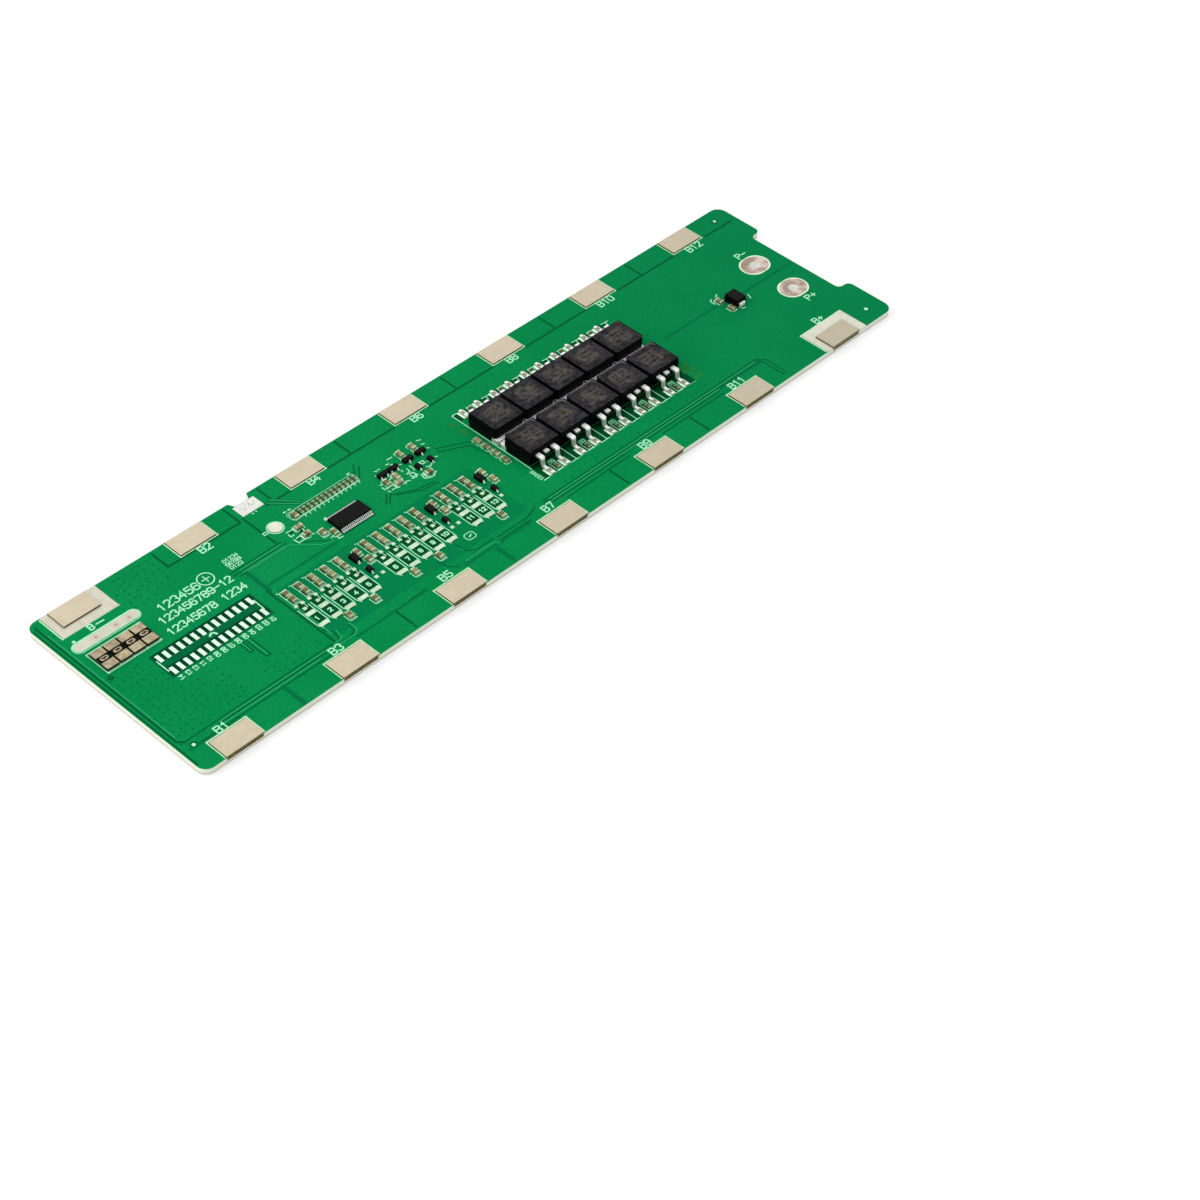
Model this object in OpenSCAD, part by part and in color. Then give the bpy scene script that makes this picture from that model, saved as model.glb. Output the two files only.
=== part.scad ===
// Battery management board: a long circuit board that lies across thirteen
// cells and protects them. Weld tabs stand along both long edges, four current
// shunts and a connector footprint sit at the negative end, the monitor chip
// and its filter parts in the middle, ten power transistors beside them, and
// two plated terminals for the pack leads at the far end.
//
// Millimetres. The origin is the centre of the underside, +X runs along the
// board from the negative tab to the pack terminals, +Z points up.
// Places are given from the negative end (x) and from the edge with tab B1 (y),
// unless their comment names another edge.

/* [Board] */
// Thickness of the board
board_t = 1.6; // [1.2:0.1:2.4]
// Width of the board over both rows of tabs
board_w = 60; // [59.4:0.1:64]
// From the negative end to the middle of the first tab
first_tab_x = 11.2; // [9.5:0.1:14]
// From the middle of the last tab to the far end
last_tab_x = 19; // [18:0.1:26]
// Radius of the two corners at the negative end
corner_r = 2.6; // [1:0.1:4]
// Radius of the two corners at the far end
far_corner_r = 2.8; // [1:0.1:4]
// Depth of the recess in the far end
recess_d = 3.8; // [3.5:0.1:5]
// Length of the recess along the end
recess_w = 30.2; // [24:0.1:32]
// Edge of the recess nearest tab B1
recess_y = 14.9; // [14:0.1:16]
// Radius of the recess corners and shoulders
shoulder_r = 1.6; // [0.6:0.1:1.7]
// Middle of the notch in the long edge
notch_x = 61.2; // [58:0.1:64]
// Width of the notch at its mouth
notch_w = 5.8; // [4:0.1:7]
// Depth of the notch
notch_d = 1.8; // [1:0.1:2.4]

/* [Weld tabs] */
// Distance between neighbouring tabs of a row
tab_pitch = 33.3; // [33:0.1:36]
// Length of a tab along the board
tab_l = 10.4; // [8:0.1:12]
// Width of a tab across the board
tab_w = 5.8; // [5:0.1:7]
// Thickness of the nickel tabs
tab_t = 0.4; // [0.2:0.05:0.6]
// Distance of the tabs B-, B2 to B12 from their edge
tab_back = 0.3; // [0:0.1:0.6]
// Length of the tinned field under an end tab
field_l = 15.4; // [14:0.1:18]
// Width of the tinned field under an end tab
field_w = 8.7; // [8:0.1:9.4]
// From the middle of an end tab to the middle of its field
field_offset = 0.4; // [-0.6:0.1:0.6]
// Thickness of tinned copper on the board
tin_t = 0.1; // [0.05:0.01:0.15]

/* [Pack terminals] */
// From the terminals' middles to the far end
terminal_end = 12.4; // [11:0.1:14]
// Line midway between the two terminals
terminal_y = 29.7; // [28:0.1:31]
// Distance between the two terminals
terminal_pitch = 13.1; // [11:0.1:14]
// Diameter of the open hole in a terminal
terminal_hole = 2.8; // [2:0.1:3.4]
// Wall of the barrel that lines a terminal's hole
plating_t = 0.2; // [0.05:0.01:0.3]
// Length of the terminal's land
land_l = 8.8; // [7:0.1:10]
// Width of the terminal's land
land_w = 7.2; // [6:0.1:8]

/* [Power transistors] */
// Middle of the first pair of transistors
bank_x = 123.2; // [122.2:0.1:125]
// Line between the two rows, which lie tab to tab
bank_y = 31.15; // [31:0.05:32]
// Gap between the bodies of neighbouring pairs
bank_room = 0.4; // [0.3:0.1:0.8]
// Gap between the tabs of the two rows
bank_gap = 0.3; // [0.2:0.1:1]
// Width of the moulded body
power_w = 10.2; // [9.6:0.1:10.3]
// Length of the moulded body
power_l = 9.2; // [8.6:0.1:9.6]
// Height of the moulded body
power_h = 4.4; // [4:0.1:4.8]
// Height of the leads where they leave the body
power_lead_z = 2.6; // [2.2:0.1:2.8]
// Length of the metal tab beyond the body
power_tab_out = 1; // [0.8:0.1:1.4]
// Thickness of the metal tab
power_tab_t = 1.3; // [1:0.1:1.5]
// Distance between neighbouring leads
power_lead_pitch = 2.54; // [2.54:0.01:2.54]
// Thickness of the leads
power_lead_t = 0.5; // [0.4:0.05:0.6]
// Width of a lead at its foot
power_foot_w = 0.8; // [0.6:0.1:1]
// Width of a lead at its root
power_root_w = 1.3; // [1:0.1:1.5]
// Reach of the feet from the body
power_reach = 5.4; // [5:0.1:6]

/* [Shunts] */
// Middle of the first shunt
shunt_x = 6; // [5:0.1:7]
// From the middle line of the shunts to the edge with tab B-
shunt_y = 20; // [19.6:0.1:21]
// Distance between neighbouring shunts
shunt_pitch = 3.7; // [3.5:0.1:4]
// Length of a shunt
shunt_l = 6.4; // [6:0.1:7]
// Width of a shunt
shunt_w = 3.2; // [2.8:0.1:3.3]
// Height of a shunt
shunt_h = 0.9; // [0.7:0.1:1.2]
// Length of the coated middle of a shunt
shunt_coat_l = 2; // [1.5:0.1:3]

/* [Monitor chip] */
// Middle of the chip along the board
monitor_x = 75.7; // [75.5:0.1:77]
// Middle of the chip across the board
monitor_y = 37.4; // [37.2:0.1:38]
// Length of the chip's body
monitor_l = 9.7; // [9.6:0.1:10]
// Width of the chip's body
monitor_w = 4.4; // [4:0.1:4.6]
// Height of the chip
monitor_h = 1.1; // [0.9:0.1:1.3]
// Distance between neighbouring leads
monitor_pitch = 0.5; // [0.4:0.05:0.5]
// Leads along each side
monitor_leads_a_side = 19; // [9:2:19]
// Width over the feet
monitor_span = 6.4; // [6.2:0.1:6.8]

/* [Connector] */
// First pad of each row
connector_x = 14.8; // [14:0.1:16]
// From the line midway between the two rows to the edge with tab B-
connector_y = 30.2; // [29:0.1:31]
// Distance between neighbouring pads
connector_pitch = 2; // [1.8:0.1:2]
// Pads in each row
connector_pads_a_row = 14; // [8:1:14]
// Distance between the two rows
connector_rows = 4.8; // [4.4:0.1:5]

/* [Cell channels] */
// Column of the first channel
channel_x = 47.9; // [47:0.1:48.5]
// Distance between neighbouring channels
channel_pitch = 3.9; // [3.8:0.05:4]
// Distance between neighbouring groups of channels
channel_group_pitch = 23.9; // [23.8:0.1:24.4]
// Lower edge of the channels' parts
channel_y = 15.1; // [14.9:0.1:15.5]
// Length of a ceramic chip
chip_l = 2; // [1.8:0.05:2.05]
// Width of a ceramic chip
chip_w = 1.25; // [1:0.05:1.3]
// Height of a ceramic chip
chip_h = 0.8; // [0.5:0.05:1]
// First chip of the sense row
sense_x = 68.9; // [68.6:0.1:69.4]
// Middle line of the sense row
sense_y = 46.4; // [46:0.1:46.8]
// Distance between neighbouring sense chips
sense_pitch = 1.4; // [1.3:0.05:1.5]

/* [Diode] */
// From the diode's middle to the far end
diode_end = 28; // [27:0.1:32]
// Middle of the diode across the board
diode_y = 29.5; // [28:0.1:32]
// Length of the diode's body
diode_l = 4.3; // [4:0.1:4.6]
// Width of the diode's body
diode_w = 3.6; // [3:0.1:3.9]
// Height of the diode
diode_h = 2.4; // [2:0.1:2.6]

/* [Solder lands] */
// Length of the solder bar beside the shunts
bar_l = 18.1; // [14:0.1:20]
// Width of the solder bar
bar_w = 3; // [2.4:0.1:3.2]
// Middle of the solder bar
bar_x = 12.1; // [11:0.1:14]
// From the middle line of the solder bar to the edge with tab B-
bar_y = 13.2; // [13:0.1:13.6]
// Diameter of the round test land
test_land_d = 3.4; // [3:0.1:4.5]

/* [Hidden] */
$fn = 48;

// Colours as on the board
mask_green = [0.03, 0.52, 0.28];
tin_white = [0.88, 0.85, 0.8];
nickel = [0.8, 0.75, 0.67];
lead_silver = [0.86, 0.86, 0.85];
mould_black = [0.12, 0.12, 0.13];
ceramic_brown = [0.6, 0.48, 0.36];

// A row of seven tabs along each long edge
tabs_a_row = 7;
board_l = first_tab_x + (tabs_a_row - 1) * tab_pitch + last_tab_x;

// Amount by which a cut runs past the face it opens
past = 1;
// Draft of moulded sides, in degrees
draft = 7;
// Straight steps in each bend of a small lead
bend_steps = 4;

// The transistors' metal: slug under the body, seen at the tab
bank_columns = 5;
bank_pitch = power_w + bank_room;
slug_shoulder = 1.2;
slug_neck_w = 7.6;
// How far the slug's sides lie inside the body's
slug_inset = 0.1;
slug_l = 7.5;
// Corners cut from the body at its tab end
power_corner = 0.9;
// Lead length held inside the body
power_lead_in = 1.2;
power_stub_out = 1;
power_bend_r = 0.6;
power_foot_l = 2.6;
power_root_out = 1.8;
// Run over which a lead narrows, and its level run before the knee
power_taper = 0.3;
power_knee_run = 0.4;
ejector_d = 0.9;
ejector_depth = 0.1;
// Ejector mark from the body's middle line and from its tab end
ejector_at = [0.4, 1.8];

// Shunt: the coated middle is set in from the end blocks, above and below
shunt_step = 0.2;

// Monitor chip: gap below the body, lead strip and pin mark
monitor_stand = 0.1;
monitor_lead_w = 0.22;
monitor_lead_t = 0.15;
monitor_foot_l = 0.55;
monitor_lead_in = 0.3;
pin_mark_d = 0.8;
pin_mark_inset = 1;

// Connector lands
connector_pad_w = 1;
connector_pad_l = 2.4;

// Channels: five, five and three columns
channels = [5, 5, 3];
balance_pad = [2.6, 1.2];
balance_gap = 3.2;
switch_pad = 0.9;
switch_pad_x = 0.95;
switch_pad_y = [6.9, 8.7];
channel_chip_y = [10.8, 13];

// Parts beside each group of channels, from the group's first column
cluster_dx = [18.8, 18.8, 10.9];
cluster_zener_y = 10.9;
cluster_small_zener_y = 6;
cluster_chips = [[1.9, 12.1], [2.4, 8.6]];
cluster_pads = [[-0.3, 3.4], [1.8, 3.5]];
cluster_pad_count = [2, 2, 1];

// Small zeners: moulded length, width, height
zener = [2.7, 1.6, 1.1];
zener_small = [1.7, 1.25, 0.95];
// Middles of the small zeners above the channels
upper_zeners = [[99.1, 38.9], [103.1, 38.9]];

// Small transistors: moulded length, width, height, width over the feet
transistor = [2.9, 1.3, 1];
transistor_span = 2.4;
transistor_lead_x = 0.95;
transistors = [[91, 42.5, 0], [94.3, 42.5, 0], [99.1, 42.5, 180], [103.1, 42.5, 180]];

// Ceramic chips by their middles: upright ones, then those along the board
upright_chips = [
  [53.5, 13.5], [61.3, 13.5], [73.7, 13.5], [81.4, 13.5], [101.4, 13.5],
  [66.9, 46.3], [67.7, 37.5], [69.6, 35.8], [89.9, 39.9], [93, 39.9], [99.1, 45.2], [103.1, 45.2]
];
lying_chips = [[64.8, 42.8], [64.5, 39.8], [92, 38.1], [99.7, 35.9]];
// Column of four chips beside the transistors
driver_x = 115.9;
driver_y = 26.6;
driver_pitch = 3.1;
driver_chips = 4;
// Chip between the feet of each power transistor, from the row line
gate_y = 14.3;
// Chips beside the diode, from its middle
diode_chips = [[-2.9, 2.7], [-2.6, -1.3]];
// Sense row
sense_chips = 13;
sense_chip = [1.6, 0.8, 0.5];
// Metal end of a chip, and how far the body is set in from it
chip_end_l = 0.4;
sense_end_l = 0.3;
chip_skin = 0.03;
test_land_at = [61, 46.4];

diode_lead_w = 2;
diode_lead_t = 0.25;
diode_lead_out = 0.35;
diode_lead_in = 0.4;
diode_foot_l = 1.2;
diode_room = 0.05;

// Point on the top face, from the negative end and the edge with B1
function at(x, y) = [x - board_l / 2, y - board_w / 2, board_t];
// Length direction and the direction to its left
function unit(v) = v / norm(v);
function left(v) = [-v.y, v.x];
function turned(v, a) = [v.x * cos(a) - v.y * sin(a), v.x * sin(a) + v.y * cos(a)];
function reversed(list) = [for (i = [len(list) - 1 : -1 : 0]) list[i]];
// Round bend of radius r at b, on a line o to the left of the strip's middle
function bend(a, b, c, r, o) =
  let (u = unit(b - a), v = unit(c - b))
  let (turn = atan2(u.x * v.y - u.y * v.x, u * v))
  let (side = sign(turn), middle = b - r * tan(abs(turn) / 2) * u + side * r * left(u))
  [for (k = [0 : bend_steps])
    middle - side * (r - side * o) * turned(left(u), turn * k / bend_steps)];
function strip_side(p, r, o) = concat(
  [p[0] + o * left(unit(p[1] - p[0]))],
  [for (i = [1 : len(p) - 2]) each bend(p[i - 1], p[i], p[i + 1], r, o)],
  [p[len(p) - 1] + o * left(unit(p[len(p) - 1] - p[len(p) - 2]))]);
// Outline of a strip of thickness t bent along the points p
function strip(p, r, t) = concat(strip_side(p, r, t / 2), reversed(strip_side(p, r, -t / 2)));

// Bent strip of metal in the plane across the board, w wide along it
module bent_strip(p, r, t, w) {
  rotate([90, 0, 90]) linear_extrude(w, center = true) polygon(strip(p, r, t));
}

// Outline of a moulded side: widest at the parting line, drafted off above and below
module moulded_side(l, low, high, parting) {
  top = l / 2 - (high - parting) * tan(draft);
  bottom = l / 2 - (parting - low) * tan(draft);
  polygon([[-bottom, low], [bottom, low], [l / 2, parting], [top, high], [-top, high], [-l / 2, parting]]);
}

// Moulded body, l along X and w along Y
module moulded_body(l, w, low, high, parting) {
  intersection() {
    rotate([90, 0, 0]) linear_extrude(2 * w, center = true) moulded_side(l, low, high, parting);
    rotate([90, 0, 90]) linear_extrude(2 * l, center = true) moulded_side(w, low, high, parting);
  }
}

// Flat land with half-round ends
module oblong(l, w) {
  square([l - w, w], center = true);
  for (side = [-1, 1]) translate([side * (l - w) / 2, 0]) circle(d = w);
}

// What a quarter round of radius r leaves of its corner
module round_off(x, y, angle, r) {
  translate([x, y]) rotate(angle) difference() {
    square(r + past);
    circle(r);
  }
}

// Fillet that fills an inner corner, with the board below and to the left of it
module fillet(x, y, angle, r) {
  translate([x, y]) rotate(angle) difference() {
    translate([-r, -r]) square(2 * r);
    translate([r, r]) circle(r);
  }
}

module board_outline() {
  recess_x = board_l - recess_d;
  recess_top = recess_y + recess_w;
  difference() {
    union() {
      difference() {
        square([board_l, board_w]);
        translate([recess_x, recess_y]) square([recess_d + past, recess_w]);
      }
      fillet(recess_x, recess_y, 0, shoulder_r);
      fillet(recess_x, recess_top, -90, shoulder_r);
    }
    round_off(corner_r, corner_r, 180, corner_r);
    round_off(board_l - far_corner_r, far_corner_r, -90, far_corner_r);
    round_off(board_l - far_corner_r, board_w - far_corner_r, 0, far_corner_r);
    round_off(corner_r, board_w - corner_r, 90, corner_r);
    round_off(board_l - shoulder_r, recess_y - shoulder_r, 0, shoulder_r);
    round_off(board_l - shoulder_r, recess_top + shoulder_r, -90, shoulder_r);
    translate([notch_x, board_w])
      polygon([[-notch_w / 2 - past, past], [-notch_w / 2, 0], [-notch_w / 2 + notch_d / 2, -notch_d],
               [notch_w / 2 - notch_d / 2, -notch_d], [notch_w / 2, 0], [notch_w / 2 + past, past]]);
  }
}

// Middle of terminal number i, from the negative end and the edge with B1
function terminal_place(i) = [board_l - terminal_end, terminal_y + (0.5 - i) * terminal_pitch];

module circuit_board() {
  color(mask_green) translate([-board_l / 2, -board_w / 2, 0]) difference() {
    linear_extrude(board_t) board_outline();
    for (i = [0, 1]) translate([terminal_place(i).x, terminal_place(i).y, -past]) {
      cylinder(d = terminal_hole + 2 * plating_t, h = board_t + 2 * past);
      // The lower land lies flush in the underside
      linear_extrude(past + tin_t) oblong(land_l, land_w);
    }
  }
}

// Plated terminal: a barrel through the board with a land on each face
module terminal(i) {
  color(tin_white) translate([0, 0, -board_t]) translate(at(terminal_place(i).x, terminal_place(i).y))
    difference() {
      union() {
        linear_extrude(tin_t) oblong(land_l, land_w);
        cylinder(d = terminal_hole + 2 * plating_t, h = board_t);
        translate([0, 0, board_t]) linear_extrude(tin_t) oblong(land_l, land_w);
      }
      translate([0, 0, -past]) cylinder(d = terminal_hole, h = board_t + 2 * past);
    }
}

module terminal_p_minus() { terminal(0); }
module terminal_p_plus() { terminal(1); }

// Flat plate beside a long edge, d in from it: row 0 along the edge with B1, row 1 along the other
module edge_plate(x, row, d, l, w, low, t) {
  y = row == 0 ? d + w / 2 : board_w - d - w / 2;
  translate(at(x, y) + [0, 0, low]) linear_extrude(t) square([l, w], center = true);
}

function tab_x(i) = first_tab_x + i * tab_pitch;

// Tinned field under an end tab
module tinned_field(i, row) {
  color(tin_white) edge_plate(tab_x(i) + field_offset, row, 0, field_l, field_w, 0, tin_t);
}

module tinned_field_b_minus() { tinned_field(0, 1); }
module tinned_field_b_plus() { tinned_field(tabs_a_row - 1, 0); }

// Nickel weld tab number i of a row, standing on whatever is low thick
module nickel_tab(i, row, low) {
  color(nickel) edge_plate(tab_x(i), row, row * tab_back, tab_l, tab_w, low, tab_t);
}
module weld_tab(i, row) { nickel_tab(i, row, 0); }
module end_tab(i, row) { nickel_tab(i, row, tin_t); }

module tab_b_minus() { end_tab(0, 1); }
module tab_b1() { weld_tab(0, 0); }
module tab_b2() { weld_tab(1, 1); }
module tab_b3() { weld_tab(1, 0); }
module tab_b4() { weld_tab(2, 1); }
module tab_b5() { weld_tab(2, 0); }
module tab_b6() { weld_tab(3, 1); }
module tab_b7() { weld_tab(3, 0); }
module tab_b8() { weld_tab(4, 1); }
module tab_b9() { weld_tab(4, 0); }
module tab_b10() { weld_tab(5, 1); }
module tab_b11() { weld_tab(5, 0); }
module tab_b12() { weld_tab(6, 1); }
module tab_b_plus() { end_tab(6, 0); }

module solder_bar() {
  color(tin_white) translate(at(bar_x, board_w - bar_y)) linear_extrude(2 * tin_t) oblong(bar_l, bar_w);
}

module test_land() {
  color(tin_white) translate(at(test_land_at.x, test_land_at.y)) cylinder(d = test_land_d, h = 2 * tin_t);
}

// Shunt: a strip of resistance alloy between two thicker end blocks
module shunt_side() {
  half = shunt_l / 2;
  coat = shunt_coat_l / 2;
  polygon([[-half, 0], [-coat, 0], [-coat, shunt_step], [coat, shunt_step], [coat, 0], [half, 0],
           [half, shunt_h], [coat, shunt_h], [coat, shunt_h - shunt_step],
           [-coat, shunt_h - shunt_step], [-coat, shunt_h], [-half, shunt_h]]);
}

module shunt(i) {
  color(nickel) translate(at(shunt_x + i * shunt_pitch, board_w - shunt_y))
    rotate([90, 0, 90]) linear_extrude(shunt_w, center = true) shunt_side();
}

module shunt_1() { shunt(0); }
module shunt_2() { shunt(1); }
module shunt_3() { shunt(2); }
module shunt_4() { shunt(3); }

// Black coating that fills the upper step of every shunt
module shunt_coatings() {
  color(mould_black) for (i = [0 : 3])
    translate(at(shunt_x + i * shunt_pitch, board_w - shunt_y) + [0, 0, shunt_h - shunt_step])
      linear_extrude(shunt_step) square([shunt_w, shunt_coat_l], center = true);
}

// Puts a power transistor in its place: tab end on the row line, feet along -Y.
// Numbers 0 to 4 stand in the row beside the edge with B1, 5 to 9 face them.
module power_place(i) {
  translate(at(bank_x + (i % bank_columns) * bank_pitch, bank_y))
    rotate(i < bank_columns ? 0 : 180)
      translate([0, -bank_gap / 2, 0]) children();
}

power_front = -power_tab_out - power_l;

// Copper slug: full width at the tab, stepped in where the plastic grips it
module power_slug() {
  half = power_w / 2 - slug_inset;
  neck = slug_neck_w / 2;
  inner = -power_tab_out - slug_shoulder;
  linear_extrude(power_tab_t)
    polygon([[-half, -power_corner / 2], [-half + power_corner / 2, 0], [half - power_corner / 2, 0],
             [half, -power_corner / 2], [half, inner], [neck, inner], [neck, inner - slug_l],
             [-neck, inner - slug_l], [-neck, inner], [-half, inner]]);
}

// Lead at x: wide root, then a narrow shank bent down to its foot
module power_lead(x) {
  foot_z = power_lead_t / 2;
  knee_y = power_front - power_reach + power_foot_l + power_bend_r;
  translate([x, 0, 0]) intersection() {
    bent_strip([[power_front + power_lead_in, power_lead_z], [knee_y + power_knee_run, power_lead_z],
                [knee_y, foot_z], [power_front - power_reach, foot_z]],
               power_bend_r, power_lead_t, power_root_w);
    linear_extrude(power_h)
      polygon([[-power_root_w / 2, power_front + 2 * power_lead_in],
               [power_root_w / 2, power_front + 2 * power_lead_in],
               [power_root_w / 2, power_front - power_root_out],
               [power_foot_w / 2, power_front - power_root_out - power_taper],
               [power_foot_w / 2, power_front - 2 * power_reach],
               [-power_foot_w / 2, power_front - 2 * power_reach],
               [-power_foot_w / 2, power_front - power_root_out - power_taper],
               [-power_root_w / 2, power_front - power_root_out]]);
  }
}

// Cropped middle lead, which only shows as a stub
module power_stub() {
  translate([0, power_front + (power_lead_in - power_stub_out) / 2, power_lead_z])
    cube([power_root_w, power_lead_in + power_stub_out, power_lead_t], center = true);
}

module power_frame() {
  power_slug();
  power_stub();
  for (side = [-1, 1]) power_lead(side * power_lead_pitch);
}

// Moulded body, with the corners cut at its tab end and an ejector mark on top
module power_moulding() {
  middle = -power_tab_out - power_l / 2;
  difference() {
    intersection() {
      translate([0, middle, 0]) moulded_body(power_w, power_l, 0, power_h, power_lead_z);
      linear_extrude(power_h)
        polygon([[-power_w / 2, power_front], [power_w / 2, power_front],
                 [power_w / 2, -power_tab_out - power_corner],
                 [power_w / 2 - power_corner, -power_tab_out],
                 [-power_w / 2 + power_corner, -power_tab_out],
                 [-power_w / 2, -power_tab_out - power_corner]]);
    }
    translate([ejector_at.x, -power_tab_out - ejector_at.y, power_h - ejector_depth])
      cylinder(d = ejector_d, h = past);
    power_frame();
  }
}

module power_body(i) { color(mould_black) power_place(i) power_moulding(); }
module power_leads(i) { color(lead_silver) power_place(i) power_frame(); }

module power_body_1() { power_body(0); }
module power_body_2() { power_body(1); }
module power_body_3() { power_body(2); }
module power_body_4() { power_body(3); }
module power_body_5() { power_body(4); }
module power_body_6() { power_body(5); }
module power_body_7() { power_body(6); }
module power_body_8() { power_body(7); }
module power_body_9() { power_body(8); }
module power_body_10() { power_body(9); }
module power_leads_1() { power_leads(0); }
module power_leads_2() { power_leads(1); }
module power_leads_3() { power_leads(2); }
module power_leads_4() { power_leads(3); }
module power_leads_5() { power_leads(4); }
module power_leads_6() { power_leads(5); }
module power_leads_7() { power_leads(6); }
module power_leads_8() { power_leads(7); }
module power_leads_9() { power_leads(8); }
module power_leads_10() { power_leads(9); }

// Gull-wing lead in the plane x = 0, pointing along -Y: it leaves a body of
// width w at height z and reaches span / 2 from the middle
module gull_wing(w, span, z, lead_w, t, inside, foot) {
  knee = -span / 2 + foot;
  bent_strip([[-w / 2 + inside, z], [knee + t, z], [knee, t / 2], [-span / 2, t / 2]],
             t, t, lead_w);
}

// Monitor chip: a thin moulded body with a comb of leads down each long side
monitor_lead_z = monitor_stand + (monitor_h - monitor_stand) / 2;

module monitor_comb() {
  for (side = [0, 180], k = [0 : monitor_leads_a_side - 1])
    rotate(side) translate([(k - (monitor_leads_a_side - 1) / 2) * monitor_pitch, 0, 0])
      gull_wing(monitor_w, monitor_span, monitor_lead_z, monitor_lead_w, monitor_lead_t,
                monitor_lead_in, monitor_foot_l);
}

module monitor_body() {
  color(mould_black) translate(at(monitor_x, monitor_y)) difference() {
    moulded_body(monitor_l, monitor_w, monitor_stand, monitor_h, monitor_lead_z);
    translate([-monitor_l / 2 + pin_mark_inset, -monitor_w / 2 + pin_mark_inset, monitor_h - ejector_depth])
      cylinder(d = pin_mark_d, h = past);
    monitor_comb();
  }
}

module monitor_leads() { color(lead_silver) translate(at(monitor_x, monitor_y)) monitor_comb(); }

// Flat tinned land on the board's top face
module flat_pad(x, y, l, w) {
  translate(at(x, y)) linear_extrude(tin_t) square([l, w], center = true);
}

// Two rows of lands for the balance connector
module connector_pads() {
  color(tin_white) for (k = [0 : connector_pads_a_row - 1], side = [-1, 1])
    flat_pad(connector_x + k * connector_pitch, board_w - connector_y + side * connector_rows / 2,
             connector_pad_w, connector_pad_l);
}

// Puts its children at every channel's column
module each_channel() {
  for (g = [0 : len(channels) - 1], i = [0 : channels[g] - 1])
    translate(at(channel_x + g * channel_group_pitch + i * channel_pitch, channel_y)) children();
}

// Parts beside group g
function cluster_place(g) = at(channel_x + g * channel_group_pitch + cluster_dx[g], channel_y);

// Puts its children at the parts beside every group
module each_cluster() {
  for (g = [0 : len(channels) - 1]) translate(cluster_place(g)) children();
}

module land(x, y, l, w) {
  translate([x, y, 0]) linear_extrude(tin_t) square([l, w], center = true);
}

// Bare lands of each channel's balance resistor and switch
module channel_pads() {
  color(tin_white) {
    each_channel() {
      for (k = [0, 1])
        land(0, balance_pad.y / 2 + k * (balance_pad.y + balance_gap), balance_pad.x, balance_pad.y);
      land(0, switch_pad_y[0], switch_pad, switch_pad);
      for (side = [-1, 1]) land(side * switch_pad_x, switch_pad_y[1], switch_pad, switch_pad);
    }
    for (g = [0 : len(channels) - 1], k = [0 : cluster_pad_count[g] - 1])
      translate(cluster_place(g)) land(cluster_pads[k].x, cluster_pads[k].y, switch_pad, switch_pad);
  }
}

// Section of a chip with its edges broken, c off each corner
module chip_section(w, h, c) {
  polygon([[-w / 2 + c, 0], [w / 2 - c, 0], [w / 2, c], [w / 2, h - c],
           [w / 2 - c, h], [-w / 2 + c, h], [-w / 2, h - c], [-w / 2, c]]);
}

// Ceramic body of an upright chip of size [length, width, height]
module chip_middle(size, end_l) {
  translate([0, 0, chip_skin]) rotate([90, 0, 0])
    linear_extrude(size.x - 2 * end_l, center = true)
      chip_section(size.y - 2 * chip_skin, size.z - 2 * chip_skin, chip_skin);
}

// Its two metal ends
module chip_caps(size, end_l) {
  for (side = [-1, 1]) translate([0, side * (size.x - end_l) / 2, 0]) rotate([90, 0, 0])
    linear_extrude(end_l, center = true) chip_section(size.y, size.z, 2 * chip_skin);
}

// Puts its children at every ceramic chip outside the sense row
module each_chip() {
  each_channel() for (y = channel_chip_y) translate([0, y, 0]) children();
  each_cluster() for (p = cluster_chips) translate([p.x, p.y, 0]) children();
  for (p = upright_chips) translate(at(p.x, p.y)) children();
  for (p = lying_chips) translate(at(p.x, p.y)) rotate(90) children();
  for (k = [0 : driver_chips - 1]) translate(at(driver_x, driver_y + k * driver_pitch)) children();
  for (p = diode_chips) translate(at(board_l - diode_end + p.x, diode_y + p.y)) children();
}

// Puts its children between the feet of every power transistor
module each_gate() {
  for (i = [0 : 2 * bank_columns - 1]) power_place(i) translate([0, -gate_y, 0]) children();
}

module each_sense_chip() {
  for (k = [0 : sense_chips - 1]) translate(at(sense_x + k * sense_pitch, sense_y)) children();
}

chip = [chip_l, chip_w, chip_h];

module chip_bodies() {
  color(ceramic_brown) {
    each_chip() chip_middle(chip, chip_end_l);
    each_gate() chip_middle(sense_chip, sense_end_l);
  }
}

module chip_ends() {
  color(lead_silver) {
    each_chip() chip_caps(chip, chip_end_l);
    each_gate() chip_caps(sense_chip, sense_end_l);
  }
}

module sense_chip_bodies() { color(ceramic_brown) each_sense_chip() chip_middle(sense_chip, sense_end_l); }
module sense_chip_ends() { color(lead_silver) each_sense_chip() chip_caps(sense_chip, sense_end_l); }

// Small three-lead transistors
small_stand = 0.05;
small_lead_t = 0.12;
small_lead_w = 0.42;
small_lead_in = 0.2;
small_foot_l = 0.35;
transistor_lead_z = small_stand + (transistor.z - small_stand) / 2;

module transistor_comb() {
  for (side = [-1, 1]) translate([side * transistor_lead_x, 0, 0]) transistor_lead();
  rotate(180) transistor_lead();
}

module transistor_lead() {
  gull_wing(transistor.y, transistor_span, transistor_lead_z, small_lead_w, small_lead_t,
            small_lead_in, small_foot_l);
}

module each_transistor() {
  for (p = transistors) translate(at(p.x, p.y)) rotate(p.z) children();
}

module transistor_bodies() {
  color(mould_black) each_transistor() difference() {
    moulded_body(transistor.x, transistor.y, small_stand, transistor.z, transistor_lead_z);
    transistor_comb();
  }
}

module transistor_leads() { color(lead_silver) each_transistor() transistor_comb(); }

// Two-lead zeners, with a lead at each end of the moulding
zener_reach = 0.5;

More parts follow.
